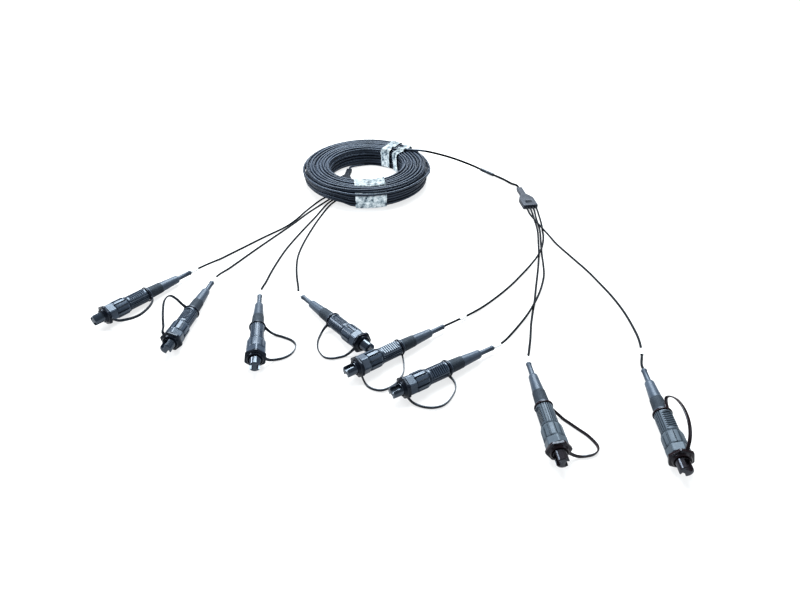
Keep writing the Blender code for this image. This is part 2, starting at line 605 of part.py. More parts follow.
def build_block(name, look):
    """A flat moulded block that narrows to a square neck, with a shallow panel in its top."""
    body_half, neck_half = BLOCK_WIDTH / 2, BLOCK_NECK_WIDTH / 2
    neck_low = (BLOCK_HEIGHT - BLOCK_NECK_HEIGHT) / 2
    sections = (
        (0.0, body_half, 0.0, BLOCK_HEIGHT),
        (-BLOCK_LENGTH, body_half, 0.0, BLOCK_HEIGHT),
        (-BLOCK_LENGTH - BLOCK_SHOULDER_BULGE, BLOCK_SHOULDER_WIDTH / 2, 0.0, BLOCK_HEIGHT),
        (-BLOCK_LENGTH - BLOCK_SHOULDER, neck_half, neck_low, neck_low + BLOCK_NECK_HEIGHT),
        (-BLOCK_LENGTH - BLOCK_SHOULDER - BLOCK_NECK_LENGTH, neck_half, neck_low, neck_low + BLOCK_NECK_HEIGHT),
    )
    rings = []
    for x, half, low, high in sections:
        rings.append([
            Vector((x, -half + BLOCK_EDGE, low)), Vector((x, half - BLOCK_EDGE, low)),
            Vector((x, half, low + BLOCK_EDGE)), Vector((x, half, high - BLOCK_EDGE)),
            Vector((x, half - BLOCK_EDGE, high)), Vector((x, -half + BLOCK_EDGE, high)),
            Vector((x, -half, high - BLOCK_EDGE)), Vector((x, -half, low + BLOCK_EDGE)),
        ])
    label = f"{name}_breakout_block"
    block = object_of(label, loft(label, rings), look, place=block_frame(name))
    bm = bmesh.new()
    size = (BLOCK_PANEL_LENGTH, BLOCK_PANEL_WIDTH, 2 * BLOCK_PANEL_DEPTH)
    place = Matrix.Translation((-BLOCK_PANEL_MIDDLE, 0.0, BLOCK_HEIGHT)) @ Matrix.Diagonal((*size, 1.0))
    bmesh.ops.create_cube(bm, size=1.0, matrix=place)
    cutter = guide_of(f"{label}_panel_cutter", finished(bm, f"{label}_panel"), place=block_frame(name))
    boolean(block, "DIFFERENCE", cutter)


def block_exit(name, number):
    """Where a lead leaves a block, and the direction that it leaves in."""
    frame = block_frame(name)
    aside = (number - (LEADS_PER_BLOCK - 1) / 2) * LEAD_SPACING
    start = frame @ Vector((GAP, aside, EXIT_HEIGHT))
    return start, (frame.to_3x3() @ Vector((1.0, 0.0, 0.0)))


def block_neck_end(name):
    frame = block_frame(name)
    back = -(BLOCK_LENGTH + BLOCK_SHOULDER + BLOCK_NECK_LENGTH) - GAP
    return frame @ Vector((back, 0.0, EXIT_HEIGHT)), -(frame.to_3x3() @ Vector((1.0, 0.0, 0.0)))


def flange_outline(x):
    """A hexagonal plate with cut corners, one of its flats towards the strap."""
    corner = math.acos(FLANGE_APOTHEM / FLANGE_CORNER_RADIUS)
    points = []
    for i in range(CAP_SIDES // 2):
        middle = 4 * math.pi * i / CAP_SIDES
        following = 4 * math.pi * (i + 1) / CAP_SIDES
        points += [polar(x, FLANGE_CORNER_RADIUS, angle) for angle in (middle + corner, following - corner)]
    return points


def cap_circle(x, radius):
    return [polar(x, radius, 2 * math.pi * (i + 0.5) / CAP_SIDES) for i in range(CAP_SIDES)]


def cap_head_mesh():
    """Nose, raised collar, flange and the spigot that seats inside the nut."""
    return loft("cap_head", [
        cap_circle(0.0, NOSE_RADIUS - NOSE_CHAMFER),
        cap_circle(NOSE_CHAMFER, NOSE_RADIUS),
        cap_circle(NOSE_LENGTH, NOSE_RADIUS),
        cap_circle(NOSE_LENGTH, COLLAR_RADIUS),
        cap_circle(FLANGE_FRONT, COLLAR_RADIUS),
        flange_outline(FLANGE_FRONT),
        flange_outline(FLANGE_BACK),
        cap_circle(FLANGE_BACK, SPIGOT_RADIUS),
        cap_circle(SPIGOT_BACK, SPIGOT_RADIUS),
    ])


def channel_mesh():
    """Two blocks that cut the side channels of the nose, and leave a web between them."""
    bm = bmesh.new()
    depth = NOSE_RADIUS
    length = CHANNEL_LENGTH * 2
    for side in (-1, 1):
        middle = side * (WEB_THICKNESS / 2 + depth / 2)
        size = Matrix.Diagonal((length, CHANNEL_WIDTH, depth, 1.0))
        bmesh.ops.create_cube(bm, size=1.0, matrix=Matrix.Translation((0.0, 0.0, middle)) @ size)
    return finished(bm, "nose_channels")


def eye_mesh():
    """A D-shaped hole through the web: flat towards the tip, round towards the flange."""
    half = EYE_WIDTH / 2
    straight = EYE_LENGTH - half
    outline = [(EYE_START, -half), (EYE_START + straight, -half)]
    for i in range(1, 6):
        angle = -math.pi / 2 + math.pi * i / 6
        outline.append((EYE_START + straight + half * math.cos(angle), half * math.sin(angle)))
    outline += [(EYE_START + straight, half), (EYE_START, half)]
    rings = [[Vector((x, y, z)) for x, y in outline] for z in (-WEB_THICKNESS, WEB_THICKNESS)]
    return loft("nose_eye", rings)


def loop_normal(points):
    """The upright of the plane that a bowed line lies in most nearly."""
    total = Vector((0.0, 0.0, 0.0))
    for first, second in zip(points, points[1:] + points[:1]):
        total += first.cross(second)
    return total.normalized()


def strap_mesh(name, number):
    """A flat strap bowing out from the flange to the tether ring, in the plug's own frame."""
    (x, y), heading, side_roll, _, _, own_points = PLUGS[number]
    roll = math.radians(side_roll)
    ground = Matrix.Translation((x, y, 0.0)) @ Matrix.Rotation(math.radians(heading), 4, "Z")
    into_plug = plug_frame(number).inverted() @ ground
    start = polar(FLANGE_BACK - FLANGE_THICKNESS / 2, FLANGE_APOTHEM - STRAP_THICKNESS, roll)
    end = polar(TETHER_MIDDLE, TETHER_OUTER_RADIUS - TETHER_WALL / 2, roll)
    dense = spline_points([start, *(into_plug @ Vector(point) for point in own_points), end])
    line = resampled(dense, lengths_along(dense)[-1] / STRAP_STEPS)
    normal = loop_normal(line)
    half_width, half_thickness = STRAP_WIDTH / 2, STRAP_THICKNESS / 2
    rings = []
    for i, point in enumerate(line):
        direction = (line[min(i + 1, len(line) - 1)] - line[max(i - 1, 0)]).normalized()
        side = normal.cross(direction).normalized()
        up = direction.cross(side) * half_width
        side *= half_thickness
        rings.append([point - side - up, point + side - up, point + side + up, point - side + up])
    return loft(name, rings)


def tether_mesh():
    """The ring round the plug body's groove."""
    return loft("tether_ring", [
        cap_circle(TETHER_FRONT, TETHER_OUTER_RADIUS),
        cap_circle(TETHER_BACK, TETHER_OUTER_RADIUS),
        cap_circle(TETHER_BACK, TETHER_INNER_RADIUS),
        cap_circle(TETHER_FRONT, TETHER_INNER_RADIUS),
    ], closed=True)


def nut_ring(x, kind):
    """Thirty-six points: a hexagon with rounded corners, twelve ribs, or a plain circle."""
    points = []
    for side in range(NUT_SIDES):
        middle = 2 * math.pi * side / NUT_SIDES
        for angle, on_rib in zip(NUT_ANGLES, NUT_ON_RIB):
            if kind == "hex":
                radius = min(NUT_CORNER_RADIUS, NUT_HEX_APOTHEM / math.cos(angle))
            elif kind == "ribs":
                radius = NUT_RIB_RADIUS if on_rib else NUT_GROOVE_RADIUS
            else:
                radius = kind
            points.append(polar(x, radius, middle + angle))
    return points


def nut_mesh():
    """The coupling nut round its own centre: hex collar in front, gripping ribs behind."""
    front, back = NUT_FRONT - NUT_CENTRE, NUT_BACK - NUT_CENTRE
    bore = NUT_BORE_RADIUS / math.cos(math.radians(9.0))
    collar_back = front + NUT_COLLAR_LENGTH
    lip_front = back - NUT_LIP_LENGTH
    return loft("coupling_nut", [
        nut_ring(front, bore),
        nut_ring(front, "hex"),
        nut_ring(collar_back, "hex"),
        nut_ring(collar_back + BODY_CHAMFER, "ribs"),
        nut_ring(lip_front - NUT_CHAMFER_LENGTH, "ribs"),
        nut_ring(lip_front, NUT_CHAMFER_RADIUS),
        nut_ring(lip_front, NUT_LIP_RADIUS),
        nut_ring(back, NUT_LIP_RADIUS),
        nut_ring(back, bore),
    ], closed=True)


def body_mesh():
    """The plug body: spindle inside the nut, grip section, and the groove for the tether ring."""
    return revolved("connector_body", (
        (SPIGOT_BACK + GAP, SPINDLE_RADIUS),
        (BODY_FRONT, SPINDLE_RADIUS),
        (BODY_FRONT, BODY_RADIUS - BODY_CHAMFER),
        (BODY_FRONT + BODY_CHAMFER, BODY_RADIUS),
        (BODY_BACK, BODY_RADIUS),
        (BODY_BACK, GROOVE_RADIUS),
        (GROOVE_BACK, GROOVE_RADIUS),
    ), BODY_SIDES)


def boot_mesh():
    """Strain relief: a collar, a gripping section, a smooth taper and a thin tail."""
    collar_back = BOOT_FRONT + BOOT_COLLAR_LENGTH
    return revolved("boot", (
        (BOOT_FRONT, BOOT_COLLAR_RADIUS),
        (collar_back, BOOT_COLLAR_RADIUS),
        (collar_back, BOOT_GRIP_RADIUS),
        (BOOT_GRIP_BACK, BOOT_GRIP_END_RADIUS),
        (BOOT_GRIP_BACK, BOOT_TAPER_RADIUS),
        (BOOT_TAPER_BACK, BOOT_TAPER_END_RADIUS),
        (BOOT_TAPER_BACK, BOOT_TAIL_RADIUS),
        (BOOT_BACK, BOOT_TAIL_RADIUS),
    ), BOOT_SIDES)


def plug_frame(number):
    """The plug lies on its flange and its tether ring, so its axis tips a little towards the cable."""
    (x, y), heading, roll, _, _, _ = PLUGS[number]
    turn = Matrix.Rotation(math.radians(roll), 4, "X")
    drop = -min((turn @ point).z for point in flange_outline(0.0))
    tilt = math.atan((drop - TETHER_OUTER_RADIUS) / (TETHER_BACK - FLANGE_BACK))
    height = FLANGE_BACK * math.sin(tilt) + drop * math.cos(tilt)
    facing = Matrix.Rotation(math.radians(heading), 4, "Z") @ Matrix.Rotation(tilt, 4, "Y")
    return Matrix.Translation((x, y, height)) @ facing


def build_plugs(looks):
    head, channels, eye, tether = cap_head_mesh(), channel_mesh(), eye_mesh(), tether_mesh()
    nut, body, boot = nut_mesh(), body_mesh(), boot_mesh()
    head.materials.append(looks["cap"])
    nut.materials.append(looks["nut"])
    body.materials.append(looks["body"])
    boot.materials.append(looks["boot"])
    for number, (_, _, side_roll, nose_roll, nut_roll, _) in PLUGS.items():
        frame = empty(f"plug_{number}", plug_frame(number), bpy.data.objects["layout"])
        turn = Matrix.Rotation(math.radians(side_roll), 4, "X")
        nose_turn = Matrix.Rotation(math.radians(nose_roll), 4, "X")
        nut_turn = Matrix.Rotation(math.radians(nut_roll), 4, "X")
        cap = object_of(f"dust_cap_{number}", head, parent=frame, place=turn)
        strap_name = f"strap_guide_{number}"
        strap = guide_of(strap_name, strap_mesh(strap_name, number), frame)
        ring = guide_of(f"tether_guide_{number}", tether, frame, turn)
        slots = guide_of(f"channel_cutter_{number}", channels, frame, nose_turn)
        hole = guide_of(f"eye_cutter_{number}", eye, frame, nose_turn)
        for operation, guide in (("UNION", strap), ("UNION", ring), ("DIFFERENCE", slots), ("DIFFERENCE", hole)):
            boolean(cap, operation, guide)
        centre = Matrix.Translation((NUT_CENTRE, 0.0, 0.0))
        object_of(f"coupling_nut_{number}", nut, parent=frame, place=centre @ nut_turn)
        object_of(f"connector_body_{number}", body, parent=frame, place=turn)
        object_of(f"boot_{number}", boot, parent=frame, place=turn)


def lead_line(number):
    """The smooth line of a lead, from its block to the end of its plug's boot."""
    block, exit_number, _, route = LEADS[number]
    start, outward = block_exit(block, exit_number)
    frame = plug_frame(number)
    end = frame @ Vector((BOOT_BACK + GAP, 0.0, 0.0))
    backward = frame.to_3x3() @ Vector((1.0, 0.0, 0.0))
    stub = 3 * LEAD_DIAMETER
    line = [start, start + stub * outward, *route, end + stub * backward, end]
    return [Vector((p.x, p.y, max(p.z, FLOOR_LEAD))) for p in spline_points(line)]


def build_leads(looks):
    for number, (_, _, marker_offset, _) in LEADS.items():
        line = lead_line(number)
        cable(f"lead_{number}", line, LEAD_DIAMETER, looks["lead"])
        from_plug = line[::-1]
        sleeve_on(
            f"marker_sleeve_{number}", from_plug, marker_offset, MARKER_LENGTH,
            LEAD_RADIUS, MARKER_WALL, looks["marker"],
        )


def build_trunk(looks):
    end, backward = block_neck_end("right")
    stub = 3 * TRUNK_DIAMETER
    line = spline_points([*TRUNK_ROUTE, end + stub * backward, end])
    cable("trunk_run", line, TRUNK_DIAMETER, looks["trunk"])
    sleeve_on(
        "trunk_sleeve", line, SLEEVE_START, SLEEVE_LENGTH, TRUNK_RADIUS, SLEEVE_WALL, looks["sleeve"],
    )
    start, outward = block_neck_end("left")
    cable("trunk_tail", [start, start + TAIL_LENGTH * outward], TRUNK_DIAMETER, looks["trunk"])


def main():
    for old in list(bpy.data.objects):
        bpy.data.objects.remove(old)
    looks = {
        "trunk": material("trunk_jacket", (0.030, 0.034, 0.045), 0.42),
        "lead": material("lead_jacket", (0.012, 0.013, 0.016), 0.45),
        "block": material("block_plastic", (0.060, 0.066, 0.080), 0.48),
        "cap": material("cap_rubber", (0.016, 0.012, 0.014), 0.40),
        "nut": material("nut_plastic", (0.045, 0.048, 0.060), 0.35),
        "body": material("body_plastic", (0.042, 0.045, 0.055), 0.40),
        "boot": material("boot_rubber", (0.032, 0.034, 0.042), 0.55),
        "marker": material("marker_plastic", (0.88, 0.88, 0.88), 0.50),
        "sleeve": material("shrink_tube", (0.014, 0.014, 0.016), 0.40),
        "tape": material("clear_tape", (0.78, 0.83, 0.84), 0.30),
    }
    empty("layout", Matrix.Translation(LAYOUT_SHIFT))
    build_coil(looks["trunk"])
    build_tapes(looks["tape"])
    for name in BLOCK_HEADINGS:
        build_block(name, looks["block"])
    build_plugs(looks)
    build_leads(looks)
    build_trunk(looks)


main()
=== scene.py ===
"""Looks of the fibre optic drop cable: cords, detailed plugs, tapes and materials over the CAD frame."""

import json
import math
import random

import bmesh
import bpy
from mathutils import Matrix, Vector, noise


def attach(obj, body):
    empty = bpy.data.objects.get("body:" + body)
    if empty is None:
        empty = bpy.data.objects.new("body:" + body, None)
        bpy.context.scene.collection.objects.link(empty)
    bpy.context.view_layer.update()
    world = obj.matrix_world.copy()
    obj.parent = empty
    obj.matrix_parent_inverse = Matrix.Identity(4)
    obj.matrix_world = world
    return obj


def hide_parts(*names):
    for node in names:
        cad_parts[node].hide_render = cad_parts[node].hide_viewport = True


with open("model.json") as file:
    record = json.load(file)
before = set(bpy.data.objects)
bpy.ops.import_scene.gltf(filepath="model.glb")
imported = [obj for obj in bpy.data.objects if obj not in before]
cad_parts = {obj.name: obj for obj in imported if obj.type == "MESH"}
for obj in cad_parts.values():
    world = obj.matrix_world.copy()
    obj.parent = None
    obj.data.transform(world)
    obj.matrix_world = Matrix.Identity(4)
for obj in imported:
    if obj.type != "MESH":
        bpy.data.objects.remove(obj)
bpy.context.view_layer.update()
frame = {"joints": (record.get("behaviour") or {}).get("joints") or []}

ROOT = "cable"
SHIFT = Vector((-0.0003, 0.0030, 0.0))
GAP = 0.0003
TRUNK_DIAMETER = 0.0032
LEAD_DIAMETER = 0.0024
COIL_CENTRE = Vector((-0.0085, 0.2230, 0.0)) + SHIFT
COIL_INNER_RADIUS = 0.0530
COIL_OUTER_RADIUS = 0.0940
COIL_HEIGHT = 0.0296
COIL_FOOT_INSET = 0.0035


def linked(name, data):
    """A new object in the scene."""
    made = bpy.data.objects.new(name, data)
    bpy.context.scene.collection.objects.link(made)
    return made


# Camera
camera_data = bpy.data.cameras.new("camera")
camera_data.lens = 27.0
camera_data.sensor_width = 36.0
camera_data.clip_start = 0.01
camera = linked("camera", camera_data)
camera.location = (0.0427, -0.6190, 0.4180)
camera.rotation_euler = (math.radians(90.0 - 37.6), 0.0, 0.0)
bpy.context.scene.camera = camera


def mixed(first, second, start, end, time):
    return first * ((end - time) / (end - start)) + second * ((time - start) / (end - start))


def spline_points(points, samples=24):
    """Dense points of a centripetal Catmull-Rom spline through the points given."""
    knots = [Vector(p) for p in points]
    knots = [2 * knots[0] - knots[1], *knots, 2 * knots[-1] - knots[-2]]
    dense = []
    for p0, p1, p2, p3 in zip(knots, knots[1:], knots[2:], knots[3:]):
        t0 = 0.0
        t1 = t0 + math.sqrt((p1 - p0).length)
        t2 = t1 + math.sqrt((p2 - p1).length)
        t3 = t2 + math.sqrt((p3 - p2).length)
        for i in range(samples):
            t = t1 + (t2 - t1) * i / samples
            a1, a2, a3 = mixed(p0, p1, t0, t1, t), mixed(p1, p2, t1, t2, t), mixed(p2, p3, t2, t3, t)
            dense.append(mixed(mixed(a1, a2, t0, t2, t), mixed(a2, a3, t1, t3, t), t1, t2, t))
    dense.append(Vector(points[-1]))
    return dense


def lengths_along(points):
    total = [0.0]
    for first, second in zip(points, points[1:]):
        total.append(total[-1] + (second - first).length)
    return total


def point_at(points, along, distance):
    for i in range(1, len(points)):
        if along[i] >= distance or i == len(points) - 1:
            share = (distance - along[i - 1]) / max(along[i] - along[i - 1], 1e-9)
            return points[i - 1].lerp(points[i], share)


def resampled(points, spacing):
    along = lengths_along(points)
    count = max(2, round(along[-1] / spacing))
    return [point_at(points, along, along[-1] * i / count) for i in range(count + 1)]


def smooth_step(low, high, value):
    share = min(1.0, max(0.0, (value - low) / (high - low)))
    return share * share * (3 - 2 * share)


def heading_vector(angle):
    return Vector((math.cos(angle), math.sin(angle), 0.0))


def with_height(points, resting):
    """Points as vectors, those given without a height at the resting height."""
    return [Vector(point if len(point) == 3 else (*point, resting)) for point in points]


# Node materials
class Nodes:
    """A small builder for one node material."""

    def __init__(self, name):
        self.material = bpy.data.materials.new(name)
        self.material.use_nodes = True
        self.tree = self.material.node_tree

    def feed(self, node, inputs):
        """Link or set a node's inputs, by name or number."""
        for key, value in inputs.items():
            if isinstance(value, bpy.types.NodeSocket):
                self.tree.links.new(value, node.inputs[key])
            else:
                node.inputs[key].default_value = value

    def add(self, kind, output, inputs, **settings):
        """The output of a new node with its settings made and its inputs fed."""
        node = self.tree.nodes.new(f"ShaderNode{kind}")
        for key, value in settings.items():
            setattr(node, key, value)
        self.feed(node, inputs)
        return node.outputs[output]

    def coordinates(self, scale=(1.0, 1.0, 1.0)):
        place = self.add("TexCoord", "Object", {})
        return self.add("Mapping", "Vector", {"Vector": place, "Scale": scale})

    def noise(self, vector, scale, detail=4.0, roughness=0.6):
        inputs = {"Vector": vector, "Scale": scale, "Detail": detail, "Roughness": roughness}
        return self.add("TexNoise", "Fac", inputs)

    def ramp(self, value, stops):
        """Colours between stops, each a place and a colour."""
        node = self.tree.nodes.new("ShaderNodeValToRGB")
        elements = node.color_ramp.elements
        for end in (0, -1):
            place, colour = stops[end]
            elements[end].position = place
            elements[end].color = (*colour, 1.0)
        for place, colour in stops[1:-1]:
            elements.new(place).color = (*colour, 1.0)
        self.feed(node, {"Fac": value})
        return node.outputs["Color"]

    def range(self, value, low, high, from_low=0.3, from_high=0.7):
        spans = {"From Min": from_low, "From Max": from_high, "To Min": low, "To Max": high}
        return self.add("MapRange", "Result", {"Value": value, **spans})

    def maths(self, operation, first, second):
        return self.add("Math", "Value", {0: first, 1: second}, operation=operation)

    def scaled(self, colour, share):
        return self.add("VectorMath", "Vector", {0: colour, "Scale": share}, operation="SCALE")

    def height(self, place):
        return self.add("SeparateXYZ", "Z", {"Vector": place})

    def bump(self, height, distance, strength, before=None):
        inputs = {"Height": height, "Distance": distance, "Strength": strength}
        if before:
            inputs["Normal"] = before
        return self.add("Bump", "Normal", inputs)

    def finish(self, colour, roughness, normal, **others):
        inputs = {"Base Color": colour, "Roughness": roughness, "Normal": normal}
        inputs.update({key.replace("_", " "): value for key, value in others.items()})
        self.feed(self.tree.nodes["Principled BSDF"], inputs)
        return self.material


GLOSS_TINT = (0.72, 0.84, 1.0, 1.0)
GRAIN_DEPTH = 0.00002
KNURL_SCALE = 620.0
KNURL_DEPTH = 0.00018
WRINKLE_DEPTH = 0.0014
DEEPEST_SHADE = 0.10


def moulded(name, dark, light, rough_low, rough_high, gloss):
    """Moulded plastic or rubber: slow tone changes, faint scuffs, and a fine matt grain."""
    nodes = Nodes(name)
    place = nodes.coordinates()
    tone = nodes.noise(place, 55.0, 3.0)
    scuff = nodes.noise(nodes.coordinates((1.0, 1.0, 4.0)), 420.0, 5.0, 0.7)
    colour = nodes.ramp(tone, ((0.30, dark), (0.72, light)))
    rough = nodes.range(scuff, rough_low, rough_high)
    normal = nodes.bump(nodes.noise(place, 2600.0, 2.0), GRAIN_DEPTH, 0.25)
    normal = nodes.bump(scuff, GRAIN_DEPTH, 0.15, normal)
    return nodes.finish(colour, rough, normal, Specular_IOR_Level=gloss, Specular_Tint=GLOSS_TINT)


def jacket(name, dark, light, rough_low, rough_high, gloss):
    """Extruded cable jacket: tone that drifts along the cable and a faint drawn texture."""
    nodes = Nodes(name)
    place = nodes.coordinates()
    tone = nodes.noise(place, 38.0)
    scuff = nodes.noise(place, 300.0, 5.0, 0.7)
    colour = nodes.ramp(tone, ((0.28, dark), (0.74, light)))
    rough = nodes.range(scuff, rough_low, rough_high)
    normal = nodes.bump(scuff, 0.00008, 0.25)
    normal = nodes.bump(nodes.noise(place, 1800.0, 2.0), GRAIN_DEPTH, 0.35, normal)
    return nodes.finish(colour, rough, normal, Specular_IOR_Level=gloss, Specular_Tint=GLOSS_TINT)


def knurled(name, dark, light):
    """Boot rubber with a fine crossed grip pattern round its front part."""
    nodes = Nodes(name)
    place = nodes.coordinates()
    waves = []
    for vector in (place, nodes.coordinates((1.0, -1.0, -1.0))):
        inputs = {"Vector": vector, "Scale": KNURL_SCALE}
        waves.append(nodes.add("TexWave", "Fac", inputs, wave_type="BANDS", bands_direction="DIAGONAL"))
    colour = nodes.ramp(nodes.noise(place, 60.0, 3.0), ((0.30, dark), (0.72, light)))
    rough = nodes.range(nodes.noise(place, 300.0), 0.55, 0.70)
    normal = nodes.bump(nodes.maths("MULTIPLY", *waves), KNURL_DEPTH, 0.8)
    return nodes.finish(colour, rough, normal, Specular_IOR_Level=0.30, Specular_Tint=GLOSS_TINT)


def wrinkled_tape(name):
    """Translucent white tape with wrinkles and patches where it does not cling, darker near the top."""
    nodes = Nodes(name)
    place = nodes.coordinates()
    cling = nodes.noise(place, 150.0, 6.0, 0.72)
    wrinkle = nodes.noise(nodes.coordinates((1.0, 1.0, 0.45)), 260.0, 4.0, 0.7)
    fine = nodes.noise(place, 1400.0, 2.0)
    tone = nodes.ramp(cling, (
        (0.36, (0.02, 0.03, 0.05)), (0.43, (0.24, 0.31, 0.36)),
        (0.50, (0.50, 0.58, 0.63)), (0.61, (0.84, 0.91, 0.95)),
    ))
    # The tape's colour is darkened towards the top of the coil
    top_dimming = nodes.range(nodes.height(place), 1.0, 0.38, COIL_HEIGHT - 0.0045, COIL_HEIGHT - 0.0010)
    normal = nodes.bump(wrinkle, WRINKLE_DEPTH, 0.9)
    normal = nodes.bump(fine, GRAIN_DEPTH, 0.3, normal)
    rough = nodes.range(fine, 0.40, 0.58)
    return nodes.finish(nodes.scaled(tone, top_dimming), rough, normal, Specular_IOR_Level=0.16)


def wound_jacket(name, dark, light, rough_low, rough_high):
    """Jacket of the coil: turns differ a little in tone, with painted shade between them, where turns not on
    the top, the outer wall or the inner wall are darkened in colour and gloss, and it is darker off the
    coil.
    """
    nodes = Nodes(name)
    place = nodes.coordinates()
    centred = nodes.add("VectorMath", "Vector", {0: place, 1: COIL_CENTRE}, operation="SUBTRACT")
    flat = nodes.add("VectorMath", "Vector", {0: centred, 1: (1.0, 1.0, 0.0)}, operation="MULTIPLY")
    radius = nodes.add("VectorMath", "Value", {0: flat}, operation="LENGTH")
    height = nodes.height(centred)
    section = nodes.add("CombineXYZ", "Vector", {"X": radius, "Y": height})
    both = nodes.maths("ADD", nodes.noise(section, 260.0, 1.0), nodes.noise(place, 24.0, 3.0))
    tone = nodes.ramp(nodes.maths("MULTIPLY", both, 0.5), ((0.38, dark), (0.62, light)))
    # Painted shade: turns away from the top, the outer wall and the inner wall show only in the gaps between
    # turns, and are darkened down to DEEPEST_SHADE, colour and gloss alike
    upper = nodes.range(height, 0.0, 1.0, COIL_HEIGHT - 0.0036, COIL_HEIGHT - 0.0024)
    outer = nodes.range(radius, 0.0, 1.0, COIL_OUTER_RADIUS - 0.0058, COIL_OUTER_RADIUS - 0.0048)
    inner = nodes.range(radius, 1.0, 0.0, COIL_INNER_RADIUS + 0.0048, COIL_INNER_RADIUS + 0.0058)
    # Off the coil the jacket is darkened the same way
    on_coil = nodes.range(radius, 1.0, 0.0, COIL_OUTER_RADIUS + 0.0040, COIL_OUTER_RADIUS + 0.0070)
    painted_shade_and_dimming = nodes.maths("MAXIMUM", nodes.maths("MAXIMUM", upper, outer), inner)
    painted_shade_and_dimming, on_coil = (nodes.maths("MAXIMUM", share, DEEPEST_SHADE) for share in (painted_shade_and_dimming, on_coil))
    painted_shade_and_dimming = nodes.maths("MULTIPLY", painted_shade_and_dimming, on_coil)
    gloss = nodes.maths("MULTIPLY", painted_shade_and_dimming, 0.42)
    scuff = nodes.noise(place, 300.0, 5.0, 0.7)
    rough = nodes.range(scuff, rough_low, rough_high)
    normal = nodes.bump(scuff, 0.00006, 0.20)
    normal = nodes.bump(nodes.noise(place, 1800.0, 2.0), GRAIN_DEPTH, 0.25, normal)
    colour = nodes.scaled(tone, painted_shade_and_dimming)
    return nodes.finish(colour, rough, normal, Specular_IOR_Level=gloss, Specular_Tint=GLOSS_TINT)


looks = {
    "trunk": wound_jacket("trunk_jacket", (0.006, 0.009, 0.016), (0.027, 0.037, 0.057), 0.38, 0.52),
    "lead": jacket("lead_jacket", (0.0010, 0.0015, 0.0028), (0.0030, 0.0040, 0.0064), 0.46, 0.60, 0.12),
    "knurl": knurled("boot_grip_rubber", (0.012, 0.017, 0.024), (0.026, 0.034, 0.046)),
    "tape": wrinkled_tape("clear_tape"),
}
# Moulded looks: material, darkest and lightest tone, least and greatest roughness, gloss
for look, *values in (
    ("block", "block_plastic", (0.026, 0.029, 0.038), (0.042, 0.046, 0.058), 0.44, 0.58, 0.22),
    # The left block's copy of the block plastic is darker: painted shade for the shade it lies in by the
    # bore
    ("shaded_block", "block_plastic_painted_shade", (0.003, 0.004, 0.007), (0.007, 0.009, 0.014), 0.46, 0.60, 0.14),
    # The recess look is much darker than the block: painted shade in the shallow recess
    ("recess", "block_recess_painted_shade", (0.004, 0.005, 0.008), (0.008, 0.010, 0.015), 0.50, 0.62, 0.12),
    ("cap", "cap_rubber", (0.003, 0.004, 0.008), (0.007, 0.010, 0.018), 0.20, 0.34, 0.26),
    ("worn_cap", "cap_rubber_worn", (0.007, 0.003, 0.004), (0.018, 0.009, 0.011), 0.16, 0.32, 0.32),
    ("nose", "cap_nose_rubber", (0.010, 0.014, 0.022), (0.024, 0.032, 0.046), 0.12, 0.24, 0.75),
    ("worn_nose", "cap_nose_rubber_worn", (0.010, 0.007, 0.009), (0.022, 0.017, 0.020), 0.16, 0.28, 0.60),
    ("nut", "nut_plastic", (0.022, 0.031, 0.047), (0.048, 0.065, 0.092), 0.24, 0.38, 0.50),
    # Lighter copies of the nut and body plastic for plugs 7 and 8: painted light
    ("nut_painted_light", "nut_plastic_painted_light", (0.046, 0.060, 0.076), (0.068, 0.086, 0.106), 0.40, 0.54, 0.30),
    ("body", "body_plastic", (0.018, 0.025, 0.040), (0.040, 0.055, 0.079), 0.22, 0.36, 0.54),
    ("body_painted_light", "body_plastic_painted_light", (0.036, 0.047, 0.062), (0.058, 0.074, 0.092), 0.38, 0.52, 0.32),
    ("boot", "boot_rubber", (0.024, 0.033, 0.049), (0.047, 0.063, 0.088), 0.34, 0.48, 0.40),
    ("marker", "marker_plastic", (0.82, 0.84, 0.85), (0.92, 0.93, 0.94), 0.40, 0.55, 0.40),
    ("sleeve", "shrink_tube", (0.006, 0.007, 0.011), (0.014, 0.017, 0.026), 0.28, 0.42, 0.40),
):
    looks[look] = moulded(*values)


def placed(name, data, look, body=ROOT, place=None, hides=()):
    """A piece of the object: linked, finished, riding on its body, standing for its CAD nodes."""
    made = linked(name, data)
    if look and not data.materials:
        data.materials.append(looks[look])
    if place:
        made.matrix_world = place
    bpy.context.view_layer.update()
    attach(made, body)
    if hides:
        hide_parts(*hides)
    return made


def smoothed(mesh, sharp):
    mesh.shade_smooth()
    mesh.set_sharp_from_angle(angle=math.radians(sharp))
    return mesh


def mesh_of(name, bm, sharp=32.0):
    bmesh.ops.recalc_face_normals(bm, faces=bm.faces)
    mesh = bpy.data.meshes.new(name)
    bm.to_mesh(mesh)
    bm.free()
    return smoothed(mesh, sharp)


def add_loft(bm, rings, closed=False):
    """Faces from ring to ring: an endless band, or a solid with both ends closed."""
    loops = [[bm.verts.new(point) for point in ring] for ring in rings]
    for first, second in zip(loops, loops[1:] + loops[:1] if closed else loops[1:]):
        for i in range(len(first)):
            following = (i + 1) % len(first)
            bm.faces.new((first[i], first[following], second[following], second[i]))
    if not closed:
        bm.faces.new(loops[0])
        bm.faces.new(loops[-1])


def lofted(name, rings, closed=False, sharp=32.0):
    bm = bmesh.new()
    add_loft(bm, rings, closed)
    return mesh_of(name, bm, sharp)


def add_bevel(solid, width, segments, sharper_than):
    edge = solid.modifiers.new("edge", "BEVEL")
    edge.width = width
    edge.segments = segments
    edge.limit_method = "ANGLE"
    edge.angle_limit = math.radians(sharper_than)


def add_cut(solid, cutter):
    cut = solid.modifiers.new("cut", "BOOLEAN")
    cut.operation = "DIFFERENCE"
    cut.object = cutter
    cut.solver = "EXACT"
    return cut


